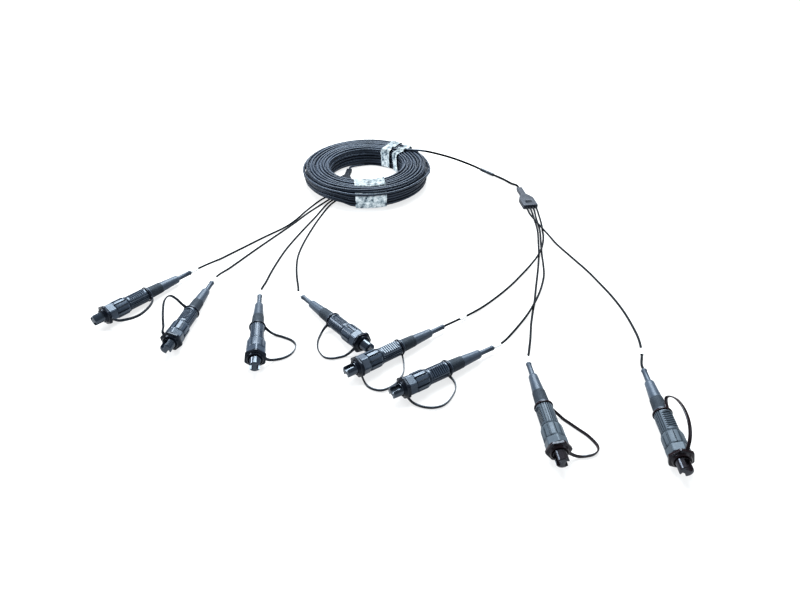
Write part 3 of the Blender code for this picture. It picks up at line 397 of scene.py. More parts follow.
def baked(name, solid, cutter):
    """The solid's mesh with its modifiers applied. The solid and its cutter leave the scene."""
    graph = bpy.context.evaluated_depsgraph_get()
    mesh = bpy.data.meshes.new_from_object(solid.evaluated_get(graph))
    mesh.name = name
    mesh.materials.clear()
    bpy.data.objects.remove(solid)
    bpy.data.objects.remove(cutter)
    return smoothed(mesh, 35.0)


def polar(x, radius, angle):
    return Vector((x, radius * math.cos(angle), radius * math.sin(angle)))


def circle(x, radius, sides):
    return [polar(x, radius, 2 * math.pi * i / sides) for i in range(sides)]


def tube_curve(name, points, diameter, resolution):
    curve = bpy.data.curves.new(name, "CURVE")
    curve.dimensions = "3D"
    curve.bevel_depth = diameter / 2
    curve.bevel_resolution = resolution
    curve.use_fill_caps = True
    spline = curve.splines.new("POLY")
    spline.points.add(len(points) - 1)
    for target, point in zip(spline.points, points):
        target.co = (*point, 1.0)
    spline.use_smooth = True
    return curve


# Breakout blocks
BLOCK_LENGTH = 0.0225
BLOCK_WIDTH = 0.0210
BLOCK_HEIGHT = 0.0064
BLOCK_SHOULDER = 0.0135
BLOCK_SHOULDER_BULGE = 0.0045
BLOCK_SHOULDER_WIDTH = 0.0174
BLOCK_NECK_LENGTH = 0.0210
BLOCK_NECK_WIDTH = 0.0080
BLOCK_NECK_HEIGHT = 0.0054
LEAD_SPACING = 0.0044
BLOCK_TOTAL = BLOCK_LENGTH + BLOCK_SHOULDER + BLOCK_NECK_LENGTH
TAIL_LENGTH = 0.0111
TAIL_END_ANGLE = math.radians(123.1)
TAIL_REACH = COIL_INNER_RADIUS - 0.0045
LEFT_HEADING = math.radians(-97.5)
TAIL_END = COIL_CENTRE + TAIL_REACH * heading_vector(TAIL_END_ANGLE)
LEFT_BLOCK = TAIL_END + (BLOCK_TOTAL + GAP + TAIL_LENGTH) * heading_vector(LEFT_HEADING)
BLOCKS = {
    "right": (Vector((0.2285, 0.1330, 0.0)) + SHIFT, math.radians(-82.0)),
    "left": (LEFT_BLOCK, LEFT_HEADING),
}
EXIT_HEIGHT = BLOCK_HEIGHT / 2
LEAD_RADIUS = LEAD_DIAMETER / 2
TRUNK_RADIUS = TRUNK_DIAMETER / 2
FLOOR_LEAD = LEAD_RADIUS + 0.00005
UNDER_COIL = LEAD_RADIUS + GAP
OVER_LEAD = FLOOR_LEAD + LEAD_DIAMETER + 2 * GAP
TRUNK_ON_COIL = COIL_HEIGHT + GAP + TRUNK_RADIUS


def block_frame(name):
    place, heading = BLOCKS[name]
    return Matrix.Translation(place) @ Matrix.Rotation(heading, 4, "Z")


def block_exit(name, number):
    matrix = block_frame(name)
    start = matrix @ Vector((GAP, (number - 1.5) * LEAD_SPACING, EXIT_HEIGHT))
    return start, (matrix.to_3x3() @ Vector((1.0, 0.0, 0.0)))


def block_neck_end(name):
    matrix = block_frame(name)
    back = -BLOCK_TOTAL - GAP
    return matrix @ Vector((back, 0.0, EXIT_HEIGHT)), -(matrix.to_3x3() @ Vector((1.0, 0.0, 0.0)))


# Plug stations along its axis from the nose tip, as in the CAD
NOSE_LENGTH = 0.0115
FLANGE_FRONT = 0.0125
FLANGE_BACK = 0.0155
SPIGOT_BACK = 0.0195
NUT_FRONT = FLANGE_BACK + GAP
NUT_LENGTH = 0.0242
NUT_BACK = NUT_FRONT + NUT_LENGTH
NUT_CENTRE = (NUT_FRONT + NUT_BACK) / 2
BODY_FRONT = NUT_BACK + GAP
BODY_BACK = BODY_FRONT + 0.0226
TETHER_FRONT = BODY_BACK + GAP
TETHER_BACK = TETHER_FRONT + 0.0022
TETHER_MIDDLE = (TETHER_FRONT + TETHER_BACK) / 2
TETHER_INNER_RADIUS = 0.0074
TETHER_OUTER_RADIUS = 0.0088
GROOVE_BACK = TETHER_BACK + GAP
BOOT_FRONT = GROOVE_BACK + GAP
BOOT_GRIP_BACK = BOOT_FRONT + 0.0170
BOOT_TAPER_BACK = BOOT_GRIP_BACK + 0.0230
BOOT_BACK = BOOT_TAPER_BACK + 0.0175

# Side of the cap that the strap leaves from, rolls of the nose, nut and grip patches, and the strap's
# line, as (distance behind the tip, distance to the left, height above the floor). A point without a
# height lies on the floor.
STRAP_ON_FLOOR = 0.0018
PLUGS = {
    1: (182.0, 136.0, 54.0, 88.0, (
        (0.0179, -0.0189, 0.0106), (0.0235, -0.0232, 0.0104), (0.0299, -0.0263, 0.0102),
        (0.0378, -0.0273, 0.0100), (0.0487, -0.0242, 0.0096), (0.0584, -0.0184, 0.0092),
        (0.0636, -0.0125, 0.0090),
    )),
    2: (50.0, -20.0, 5.0, 88.0, (
        (0.0156, 0.0078, 0.0205), (0.0226, 0.0098, 0.0224), (0.0305, 0.0130, 0.0260),
        (0.0410, 0.0166, 0.0298), (0.0513, 0.0192, 0.0325), (0.0592, 0.0191, 0.0322),
        (0.0634, 0.0175, 0.0300), (0.0650, 0.0135, 0.0250), (0.0645, 0.0090, 0.0195),
    )),
    3: (192.0, 98.0, 13.0, 11.0, (
        (0.0166, -0.0130, 0.0042), (0.0189, -0.0170), (0.0199, -0.0249), (0.0233, -0.0319),
        (0.0294, -0.0370), (0.0380, -0.0388), (0.0456, -0.0349), (0.0525, -0.0262),
        (0.0576, -0.0176, 0.0020), (0.0610, -0.0120, 0.0042),
    )),
    4: (345.0, 50.0, 20.0, 100.0, (
        (0.0160, 0.0130, 0.0045), (0.0176, 0.0182), (0.0195, 0.0248), (0.0238, 0.0324), (0.0296, 0.0362),
        (0.0377, 0.0359), (0.0454, 0.0333), (0.0544, 0.0267), (0.0605, 0.0195, 0.0019),
        (0.0635, 0.0130, 0.0042),
    )),
    5: (225.0, 0.0, 20.0, 97.0, (
        (0.0128, -0.0115, 0.0020), (0.0119, -0.0158), (0.0119, -0.0208), (0.0147, -0.0275),
        (0.0192, -0.0319), (0.0257, -0.0336), (0.0340, -0.0333), (0.0420, -0.0304), (0.0499, -0.0259),
        (0.0569, -0.0178), (0.0613, -0.0108, 0.0022),
    )),
    6: (225.0, 10.0, 46.0, 119.0, (
        (0.0148, -0.0105, 0.0022), (0.0154, -0.0130), (0.0166, -0.0165), (0.0199, -0.0220),
        (0.0265, -0.0280), (0.0353, -0.0312), (0.0427, -0.0305), (0.0503, -0.0273), (0.0580, -0.0224),
        (0.0627, -0.0165), (0.0643, -0.0108, 0.0022),
    )),
    7: (200.0, 95.0, 0.0, 6.0, (
        (0.0138, -0.0140, 0.0038), (0.0136, -0.0190), (0.0137, -0.0260), (0.0152, -0.0325),
        (0.0190, -0.0371), (0.0235, -0.0382), (0.0291, -0.0365), (0.0363, -0.0325), (0.0427, -0.0272),
        (0.0492, -0.0219), (0.0559, -0.0165, 0.0018), (0.0605, -0.0125, 0.0034),
    )),
    8: (105.0, 20.0, 14.0, 99.0, (
        (0.0207, -0.0045, 0.0276), (0.0267, -0.0056, 0.0315), (0.0342, -0.0063, 0.0339),
        (0.0420, -0.0066, 0.0347), (0.0517, -0.0065, 0.0340), (0.0632, -0.0057, 0.0305),
        (0.0712, -0.0041, 0.0248), (0.0735, -0.0030, 0.0205), (0.0705, -0.0026, 0.0182),
    )),
}


def plug_frame(number):
    """The plug's frame from its nut's joint: +X from the nose tip to the cable, +Z as upright as may be."""
    joint = next(j for j in frame["joints"] if j["child"] == f"nut_{number}")
    along = Vector(joint["axis"]).normalized()
    side = Vector((0.0, 0.0, 1.0)).cross(along).normalized()
    up = along.cross(side).normalized()
    turn = Matrix((along, side, up)).transposed().to_4x4()
    return Matrix.Translation(Vector(joint["pos_m"]) - NUT_CENTRE * along) @ turn


# Leads, as in the CAD: block, exit, distance of the marker from the boot, and route. A point without a
# height lies on the floor.
LEADS = {
    1: ("left", 0, 0.0010, (
        (-0.0585, 0.1750, UNDER_COIL), (-0.0720, 0.1570, UNDER_COIL), (-0.0890, 0.1260),
        (-0.1008, 0.0995), (-0.1125, 0.0805), (-0.1360, 0.0550), (-0.1570, 0.0310), (-0.1785, 0.0065),
        (-0.1950, -0.0150, 0.0042),
    )),
    2: ("left", 1, 0.0010, (
        (-0.0520, 0.1720, UNDER_COIL), (-0.0650, 0.1510, UNDER_COIL), (-0.0850, 0.1210),
        (-0.0985, 0.0965), (-0.1100, 0.0765), (-0.1250, 0.0520), (-0.1400, 0.0270), (-0.1550, 0.0010),
        (-0.1660, -0.0190, 0.0018), (-0.1737, -0.0350, 0.0040),
    )),
    3: ("left", 2, 0.0010, (
        (-0.0455, 0.1720, UNDER_COIL), (-0.0605, 0.1470, UNDER_COIL), (-0.0750, 0.1060),
        (-0.0860, 0.0760), (-0.0960, 0.0470), (-0.1030, 0.0240), (-0.1090, -0.0030), (-0.1132, -0.0270),
        (-0.1155, -0.0470, 0.0020), (-0.1170, -0.0620, 0.0042),
    )),
    4: ("left", 3, 0.0010, (
        (-0.0400, 0.1720, UNDER_COIL), (-0.0560, 0.1440, UNDER_COIL), (-0.0680, 0.1070),
        (-0.0760, 0.0730), (-0.0828, 0.0360), (-0.0852, 0.0090), (-0.0837, -0.0150),
        (-0.0800, -0.0380, 0.0020), (-0.0755, -0.0590, 0.0044),
    )),
    5: ("right", 3, 0.0240, (
        (0.2365, 0.1090), (0.2353, 0.0840), (0.2337, 0.0700), (0.2318, 0.0560, 0.0024),
        (0.2280, 0.0390, OVER_LEAD), (0.2225, 0.0220, OVER_LEAD), (0.2135, 0.0030, OVER_LEAD),
        (0.2020, -0.0140, 0.0026), (0.1900, -0.0300), (0.1765, -0.0485), (0.1590, -0.0695),
        (0.1382, -0.0912), (0.1200, -0.1078, 0.0024), (0.1035, -0.1218, 0.0046),
    )),
    6: ("right", 2, 0.0010, (
        (0.2313, 0.1050), (0.2303, 0.0720), (0.2260, 0.0410), (0.2222, 0.0140), (0.2195, -0.0100),
        (0.2160, -0.0320, 0.0018), (0.2080, -0.0580, 0.0034), (0.2000, -0.0780, OVER_LEAD),
        (0.1920, -0.0940, OVER_LEAD), (0.1835, -0.1085, 0.0030), (0.1735, -0.1225),
        (0.1640, -0.1365, 0.0020), (0.1520, -0.1540, 0.0044),
    )),
    7: ("right", 1, 0.0010, (
        (0.2283, 0.1050), (0.2272, 0.0720), (0.2228, 0.0410), (0.2179, 0.0110), (0.2120, -0.0160),
        (0.2020, -0.0570), (0.1960, -0.0820), (0.1905, -0.1020), (0.1850, -0.1230), (0.1800, -0.1470),
        (0.1768, -0.1600, 0.0022), (0.1726, -0.1760, 0.0048),
    )),
    8: ("right", 0, 0.0240, (
        (0.2237, 0.1120, 0.0037), (0.2286, 0.0900, OVER_LEAD), (0.2342, 0.0700, OVER_LEAD),
        (0.2390, 0.0560, 0.0034), (0.2450, 0.0390, 0.0018), (0.2600, 0.0030), (0.2710, -0.0240),
        (0.2790, -0.0490), (0.2862, -0.0740), (0.2915, -0.1020), (0.2935, -0.1280),
        (0.2934, -0.1450, 0.0018), (0.2910, -0.1600, 0.0034), (0.2866, -0.1770, 0.0050),
    )),
}
TRUNK_ROUTE = (
    (0.0525, 0.2660, TRUNK_ON_COIL), (0.0620, 0.2640, TRUNK_ON_COIL), (0.0740, 0.2625, TRUNK_ON_COIL),
    (0.0900, 0.2630, 0.0286), (0.1205, 0.2625, 0.0205), (0.1430, 0.2590, 0.0138),
    (0.1600, 0.2545, 0.0085), (0.1730, 0.2475, 0.0050), (0.1885, 0.2360, 0.0028),
    (0.2020, 0.2230, 0.0020), (0.2120, 0.2080, 0.0023),
)
SLEEVE_START = 0.1230
SLEEVE_LENGTH = 0.0230
SLEEVE_RADIUS = 0.0024
MARKER_LENGTH = 0.0095
MARKER_RADIUS = 0.0021
SLEEVE_SIDES = 28


def lead_line(number):
    block, exit_number, _, route = LEADS[number]
    start, outward = block_exit(block, exit_number)
    matrix = plug_frame(number)
    end = matrix @ Vector((BOOT_BACK + GAP, 0.0, 0.0))
    backward = matrix.to_3x3() @ Vector((1.0, 0.0, 0.0))
    stub = 3 * LEAD_DIAMETER
    route = [point + SHIFT for point in with_height(route, FLOOR_LEAD)]
    line = [start, start + stub * outward, *route, end + stub * backward, end]
    return [Vector((p.x, p.y, max(p.z, FLOOR_LEAD))) for p in spline_points(line)]


def ring_around(centre, direction, radius):
    side = Vector((0.0, 0.0, 1.0)).cross(direction).normalized()
    up = direction.cross(side).normalized()
    angles = [2 * math.pi * (i + 0.5) / SLEEVE_SIDES for i in range(SLEEVE_SIDES)]
    return [centre + radius * (math.cos(a) * side + math.sin(a) * up) for a in angles]


def sleeve_mesh(name, points, start, length, inner_radius, outer_radius, steps=14):
    """A short tube with rounded ends round a cable."""
    along = lengths_along(points)
    wall = outer_radius - inner_radius
    outer, inner = [], []
    for i in range(steps + 1):
        distance = start + length * i / steps
        centre = point_at(points, along, distance)
        before, after = (point_at(points, along, distance + step) for step in (-0.001, 0.001))
        direction = (after - before).normalized()
        radius = outer_radius - (wall * 0.5 if i in (0, steps) else 0.0)
        outer.append(ring_around(centre, direction, radius))
        inner.append(ring_around(centre, direction, inner_radius))
    return lofted(name, outer + inner[::-1], closed=True)


# Leads and their marker sleeves
for number, (_, _, marker_offset, _) in LEADS.items():
    line = lead_line(number)
    points = resampled(line, 0.0016)
    lead = placed(
        f"lead_jacket_{number}", tube_curve(f"lead_jacket_{number}", points, LEAD_DIAMETER, 4), "lead",
        hides=(f"lead_{number}",),
    )
    marker = placed(
        f"marker_tube_{number}",
        sleeve_mesh(
            f"marker_tube_{number}", line[::-1], marker_offset, MARKER_LENGTH, LEAD_RADIUS, MARKER_RADIUS,
        ),
        "marker", hides=(f"marker_sleeve_{number}",),
    )


# The wound trunk: turns of the coil, row by row, then the run over the top to the right block
TURN_PITCH = 0.004725
ROWS = 13
ROW_RISE = (COIL_HEIGHT - TRUNK_DIAMETER) / (ROWS - 1)
POINTS_PER_TURN = 44
SEAM_START = math.radians(66.0)
SEAM_END = math.radians(28.0)
ARCH_ANGLE = math.radians(-133.0)
ARCH_HALF_WIDTH = math.radians(21.0)
ARCH_RAMP = math.radians(14.0)
ARCH_HEIGHT = LEAD_DIAMETER + 2 * GAP + 0.0016

# How the turns stray from an even winding, the upper rows more than the others
ENTRY_ANGLE = math.radians(92.0)
LOOSE_ROWS = 4
LOOSE_DRIFT = 0.00055
TIGHT_DRIFT = 0.00030
LARGEST_BIAS = 0.00045

# The outermost turn of one upper row stands out, most of all at the right
PROUD_ROW = ROWS - 3
PROUD_BY = 0.0008
BULGE = 0.0030
BULGE_ANGLE = math.radians(-13.0)
BULGE_SPAN = math.radians(13.0)


def angle_between(first, second):
    return (first - second + math.pi) % (2 * math.pi) - math.pi


def arch_lift(angle):
    away = abs(angle_between(angle, ARCH_ANGLE))
    share = min(1.0, max(0.0, (ARCH_HALF_WIDTH + ARCH_RAMP - away) / ARCH_RAMP))
    return ARCH_HEIGHT * share * share * (3 - 2 * share)


# How far the outermost and innermost turn of each row stands in from the even wall
OUTER_RECESS = (
    0.0, 0.0002, 0.0, 0.0003, 0.0001, 0.0004, 0.0017, 0.0002, -0.0006, 0.0012, -0.0002, 0.0008, 0.0,
)
INNER_RECESS = (0.0, 0.0010, 0.0002, 0.0, 0.0013, 0.0002, 0.0, 0.0012, 0.0001, 0.0, 0.0011, 0.0, 0.0)


def coil_turns():
    """(radius, height, row) of every turn, from the bore at the bottom to the top."""
    first = COIL_INNER_RADIUS + TRUNK_RADIUS
    widest = COIL_OUTER_RADIUS - TRUNK_RADIUS
    turns = []
    for row in range(ROWS):
        height = TRUNK_RADIUS + row * ROW_RISE
        odd = row % 2
        radii = [first + (i + odd / 2) * TURN_PITCH for i in range(9 - odd)]
        if row in (0, ROWS - 1):
            radii = radii[:-1]
        if row == ROWS - 1:
            radii = radii[1:]
        foot = COIL_FOOT_INSET * max(0.0, 1 - height / (COIL_HEIGHT / 2))
        scale = (widest - foot - first) / (widest - first)
        radii = [first + (radius - first) * scale for radius in radii]
        radii[0] += INNER_RECESS[row]
        radii[-1] -= OUTER_RECESS[row]
        if odd:
            radii.reverse()
        turns += [(radius, height, row) for radius in radii]
    if turns[-1][0] > turns[-2][0]:
        last_row = [turn for turn in turns if turn[2] == ROWS - 1]
        turns = turns[: -len(last_row)] + last_row[::-1]
    return turns


def coil_line():
    """Points round the coil, clockwise from above, with the step to the next turn under the tape."""
    turns = coil_turns()
    rng = random.Random(7)
    spans = ((0, 6.28), (0, 6.28), (-LARGEST_BIAS, LARGEST_BIAS), (0.6, 1.0))
    wobbles = [[rng.uniform(*span) for span in spans] for _ in turns]
    step = 2 * math.pi / POINTS_PER_TURN
    points = []
    for index, (radius, height, row) in enumerate(turns):
        following = turns[index + 1] if index + 1 < len(turns) else None
        first_phase, second_phase, bias, amount = wobbles[index]
        for i in range(POINTS_PER_TURN):
            # One turn runs from the seam's end, once round, to the seam's end again
            turned = i * step
            angle = SEAM_END - turned
            seam_share = smooth_step(2 * math.pi - (SEAM_START - SEAM_END), 2 * math.pi, turned)
            r, z = radius, height
            if following:
                r = radius + (following[0] - radius) * seam_share
                z = height + (following[1] - height) * seam_share
            elif angle_between(angle, SEAM_START) < 0 and turned > math.pi:
                break
            if index == 0 and turned < 2 * math.pi - (ENTRY_ANGLE - SEAM_END):
                continue
            loose = row >= ROWS - LOOSE_ROWS
            drift = LOOSE_DRIFT if loose else TIGHT_DRIFT
            wave = drift * amount * math.sin(2 * angle + first_phase)
            r += bias + wave + 0.5 * drift * math.sin(5 * angle + second_phase)
            z += 0.6 * drift * amount * math.sin(3 * angle + second_phase) if loose else 0.0
            if row == PROUD_ROW and radius > COIL_OUTER_RADIUS - 0.0025:
                away = angle_between(angle, BULGE_ANGLE) / BULGE_SPAN
                r += BULGE * math.exp(-away * away)
                r += PROUD_BY
            z += arch_lift(angle) * (1 - z / COIL_HEIGHT)
            z = max(z, TRUNK_RADIUS)
            points.append(COIL_CENTRE + Vector((r * math.cos(angle), r * math.sin(angle), z)))
    return points


neck_left, out_left = block_neck_end("left")
neck_right, back_right = block_neck_end("right")
turn_points = coil_line()
stub = 3 * TRUNK_DIAMETER
tail_end = neck_left + TAIL_LENGTH * out_left
entry_line = spline_points([neck_left, tail_end, *turn_points[:3]], 10)
run_route = [Vector(point) + SHIFT for point in TRUNK_ROUTE]
run_line = spline_points([*turn_points[-3:], *run_route, neck_right + stub * back_right, neck_right], 10)
trunk_points = entry_line[:20] + turn_points[:-2] + run_line[11:]
clean = [trunk_points[0]]
for point in trunk_points[1:]:
    if (point - clean[-1]).length > 0.0009:
        clean.append(point)
trunk = placed(
    "trunk_cable", tube_curve("trunk_cable", clean, TRUNK_DIAMETER, 2), "trunk",
    hides=("cable_coil", "trunk_run", "trunk_tail"),
)
cad_run = spline_points([*run_route, neck_right + stub * back_right, neck_right])
trunk_sleeve = placed(
    "trunk_shrink_sleeve",
    sleeve_mesh(
        "trunk_shrink_sleeve", cad_run, SLEEVE_START, SLEEVE_LENGTH, TRUNK_RADIUS, SLEEVE_RADIUS, steps=24,
    ),
    "sleeve", hides=("trunk_sleeve",),
)


# Plug pieces
NUT_BORE_RADIUS = 0.0065
NUT_FLAT = 0.0090
NUT_CORNER = 0.0100
NUT_RIB = 0.0097
NUT_GROOVE = 0.0081
NUT_NOTCH = 0.0074
NUT_COLLAR = 0.0082
NUT_MARKS = (-30.0, -25.2, -24.2, -15.0, -5.8, -4.8, 0.0, 4.8, 5.8, 15.0, 24.2, 25.2)


def nut_radius(kind, facet_angle):
    """Radius in one sixth of the nut: the hexagon, or two ribs beside a groove in its middle."""
    if kind == "hex":
        return min(NUT_FLAT / math.cos(math.radians(facet_angle)), NUT_CORNER)
    if isinstance(kind, tuple):
        on_rib = 5.5 < abs(facet_angle) < 24.5
        return kind[0] if on_rib else kind[1]
    return kind


def nut_detail():
    """Stations from front to back and back through the bore: place, kind or radius, and any inset."""
    front, back = NUT_FRONT - NUT_CENTRE, NUT_BACK - NUT_CENTRE
    collar = front + NUT_COLLAR
    stations = [
        (front, 0.0072), (front, "hex", 0.0005), (front + 0.0005, "hex"),
        (collar - 0.0003, "hex"), (collar, "hex", 0.0003), (collar + 0.0001, (0.0091, NUT_NOTCH)),
        (collar + 0.0008, (0.0095, NUT_NOTCH)), (collar + 0.0014, (NUT_RIB, NUT_NOTCH + 0.0004)),
        (collar + 0.0018, (NUT_RIB, NUT_GROOVE)), (back - 0.0036, (NUT_RIB, NUT_GROOVE)),
        (back - 0.0030, (0.0096, NUT_GROOVE)), (back - 0.0018, (0.0089, 0.0082)),
        (back - 0.0010, (0.0083, 0.0083)), (back - 0.0009, (0.0079, 0.0079)),
        (back - 0.0007, 0.0079), (back - 0.0006, 0.0085), (back - 0.0001, 0.0086),
        (back, 0.0084), (back, NUT_BORE_RADIUS), (front, NUT_BORE_RADIUS),
    ]
    places = [(math.radians(60.0 * side + mark), mark) for side in range(6) for mark in NUT_MARKS]
    rings = []
    for x, kind, *inset in stations:
        rings.append([polar(x, nut_radius(kind, mark) - sum(inset), angle) for angle, mark in places])
    return lofted("nut_detail", rings, closed=True, sharp=28.0)


BODY_RADIUS = 0.0080
PATCH_HALF = 38.0
PATCH_APOTHEM = 0.0068
PATCH_MARKS = (-31.8, -24.0, -16.0, -8.0, 0.0, 8.0, 16.0, 24.0, 31.8)
RIB_COUNT = 8
RIB_DEPTH = 0.0013
GROOVE_MIDDLES = (53.0, 68.0, 83.0, 97.0, 112.0, 127.0)
GROOVE_MARKS = (-3.6, -2.6, 2.6, 3.6)
GROOVE_DEPTH = 0.0011


def body_radius(mark, kind):
    """Radius of the plug body at an angle: flat ribbed patch, long groove, or plain round."""
    local = (mark + 90.0) % 180.0 - 90.0
    if kind != "plain" and abs(local) <= PATCH_HALF:
        flat = min(BODY_RADIUS, PATCH_APOTHEM / math.cos(math.radians(local)))
        return flat if kind == "rib" else flat - RIB_DEPTH
    between = (mark + 360.0) % 180.0
    grooved = any(abs(between - middle) < 3.0 for middle in GROOVE_MIDDLES)
    return BODY_RADIUS - GROOVE_DEPTH if grooved else BODY_RADIUS


def body_detail():
    """Plug body with two flat ribbed grip patches on opposite sides and long grooves between them."""
    marks = []
    for side in (0.0, 180.0):
        marks += [side - PATCH_HALF - 1.5, side - PATCH_HALF, *(side + a for a in PATCH_MARKS)]
        marks += [side + PATCH_HALF, side + PATCH_HALF + 1.5]
        marks += [side + middle + a for middle in GROOVE_MIDDLES for a in GROOVE_MARKS]
    patch_front = BODY_FRONT + 0.0022
    pitch = (BODY_BACK - 0.0018 - patch_front) / RIB_COUNT
    stations = [
        (SPIGOT_BACK + GAP, 0.0060), (BODY_FRONT, 0.0060), (BODY_FRONT, 0.0073),
        (BODY_FRONT + 0.0005, BODY_RADIUS), (patch_front, "plain"),
    ]
    for i in range(RIB_COUNT):
        start = patch_front + i * pitch
        stations += [(start + 0.00005, "gap"), (start + pitch * 0.36, "gap")]
        stations += [(start + pitch * 0.40, "rib"), (start + pitch * 0.96, "rib")]
    stations += [
        (BODY_BACK - 0.0017, "plain"), (BODY_BACK - 0.0004, "plain"), (BODY_BACK, 0.0074),
        (BODY_BACK, 0.0068), (GROOVE_BACK, 0.0068),
    ]
    rings = []
    for x, kind in stations:
        radii = [kind if isinstance(kind, float) else body_radius(mark, kind) for mark in marks]
        rings.append([polar(x, radius, math.radians(mark)) for mark, radius in zip(marks, radii)])
    return lofted("body_detail", rings, sharp=28.0)


def boot_detail():
    """Strain relief: collar, knurled part, smooth taper with a round shoulder, and a flared tail."""
    knurl_front, knurl_back = BOOT_FRONT + 0.0016, BOOT_GRIP_BACK - 0.0004
    profile = (
        (BOOT_FRONT, 0.0060), (BOOT_FRONT, 0.0070), (BOOT_FRONT + 0.0004, 0.0074),
        (BOOT_FRONT + 0.0011, 0.0074), (BOOT_FRONT + 0.0015, 0.0070), (knurl_front, 0.0066),
        (knurl_back, 0.0061), (BOOT_GRIP_BACK, 0.0057), (BOOT_GRIP_BACK + 0.0060, 0.0054),
        (BOOT_GRIP_BACK + 0.0120, 0.0050), (BOOT_TAPER_BACK - 0.0030, 0.0046),
        (BOOT_TAPER_BACK - 0.0014, 0.0045), (BOOT_TAPER_BACK - 0.0004, 0.0041),
        (BOOT_TAPER_BACK, 0.0034), (BOOT_TAPER_BACK + 0.0006, 0.0026), (BOOT_BACK - 0.0016, 0.0025),
        (BOOT_BACK - 0.0012, 0.0028), (BOOT_BACK - 0.0003, 0.0028), (BOOT_BACK, 0.0026),
        (BOOT_BACK, LEAD_RADIUS),
    )
    bm = bmesh.new()
    add_loft(bm, [circle(x, radius, 40) for x, radius in profile])
    for face in bm.faces:
        face.material_index = int(knurl_front < face.calc_center_median().x < knurl_back)
    mesh = mesh_of("boot_detail", bm, 40.0)
    mesh.materials.append(looks["boot"])
    mesh.materials.append(looks["knurl"])
    return mesh


NOSE_RADIUS = 0.0058
CHANNEL_WIDTH = 0.0056
CHANNEL_LENGTH = 0.0095
WEB_THICKNESS = 0.0040
FLANGE_APOTHEM = 0.0103
FLANGE_CORNER = 0.0114
STRAP_WIDTH = 0.0030
STRAP_THICKNESS = 0.0014
STRAP_SPACING = 0.0012
STRAP_SIDES = 16
HEAD_SIDES = 56
TETHER_STEPS = 14


def flange_radius(angle):
    """A hexagon with rounded corners, one of its flats towards the strap."""
    within = (angle + math.pi / 6) % (math.pi / 3) - math.pi / 6
    flat = FLANGE_APOTHEM / math.cos(within)
    return flat if flat < FLANGE_CORNER else FLANGE_CORNER + 0.25 * (flat - FLANGE_CORNER)


def head_detail(slot_turn):
    """Nose with its channels and eye, raised ring, flange and spigot, cut by booleans and baked."""
    rings = [circle(x, radius, HEAD_SIDES) for x, radius in (
        (0.0, 0.0050), (0.0003, 0.0055), (0.0008, NOSE_RADIUS), (NOSE_LENGTH - 0.0006, NOSE_RADIUS),
        (NOSE_LENGTH, 0.0062), (NOSE_LENGTH - 0.0002, 0.0066), (NOSE_LENGTH - 0.0012, 0.0070),
        (NOSE_LENGTH - 0.0012, 0.0074), (NOSE_LENGTH - 0.0006, 0.0080), (NOSE_LENGTH + 0.0004, 0.0084),
        (FLANGE_FRONT, 0.0086),
    )]
    angles = [2 * math.pi * i / HEAD_SIDES for i in range(HEAD_SIDES)]
    for x, inset in (
        (FLANGE_FRONT, 0.0007), (FLANGE_FRONT + 0.0004, 0.0001), (FLANGE_FRONT + 0.0009, 0.0),
        (FLANGE_BACK - 0.0005, 0.0), (FLANGE_BACK, 0.0006),
    ):
        rings.append([polar(x, flange_radius(a) - inset, a) for a in angles])
    rings += [circle(x, 0.0060, HEAD_SIDES) for x in (FLANGE_BACK, SPIGOT_BACK)]
    solid = linked("head_solid", lofted("head_solid", rings))
    bm = bmesh.new()
    for side in (-1, 1):
        middle = side * (WEB_THICKNESS / 2 + NOSE_RADIUS / 2)
        size = Matrix.Diagonal((2 * CHANNEL_LENGTH, CHANNEL_WIDTH, NOSE_RADIUS, 1.0))
        bmesh.ops.create_cube(bm, size=1.0, matrix=Matrix.Translation((0.0, 0.0, middle)) @ size)
    # The eye: a slot through the web with a round far end
    half, start, straight = 0.0026, 0.0026, 0.0034
    outline = [(start, -half), (start + straight, -half)]
    for i in range(1, 12):
        angle = -math.pi / 2 + math.pi * i / 12
        outline.append((start + straight + half * math.cos(angle), half * math.sin(angle)))
    outline += [(start + straight, half), (start, half)]
    add_loft(bm, [[Vector((x, y, z)) for x, y in outline] for z in (-0.0019999, 0.0019999)])
    bmesh.ops.rotate(bm, verts=bm.verts, matrix=Matrix.Rotation(slot_turn, 3, "X"))
    cutter = linked("head_cutter", mesh_of("head_cutter", bm))
    add_cut(solid, cutter).use_self = True
    add_bevel(solid, 0.00022, 2, 50.0)
    return baked("head_detail", solid, cutter)


def loop_normal(points):
    """The upright of the plane that a bowed line lies in most nearly."""
    total = Vector((0.0, 0.0, 0.0))
    for first, second in zip(points, points[1:] + points[:1]):
        total += first.cross(second)
    return total.normalized()


def squarish(angle, power):
    """Cosine and sine of an angle, for a ring between a circle and a square."""
    c, s = math.cos(angle), math.sin(angle)
    return math.copysign(abs(c) ** power, c), math.copysign(abs(s) ** power, s)


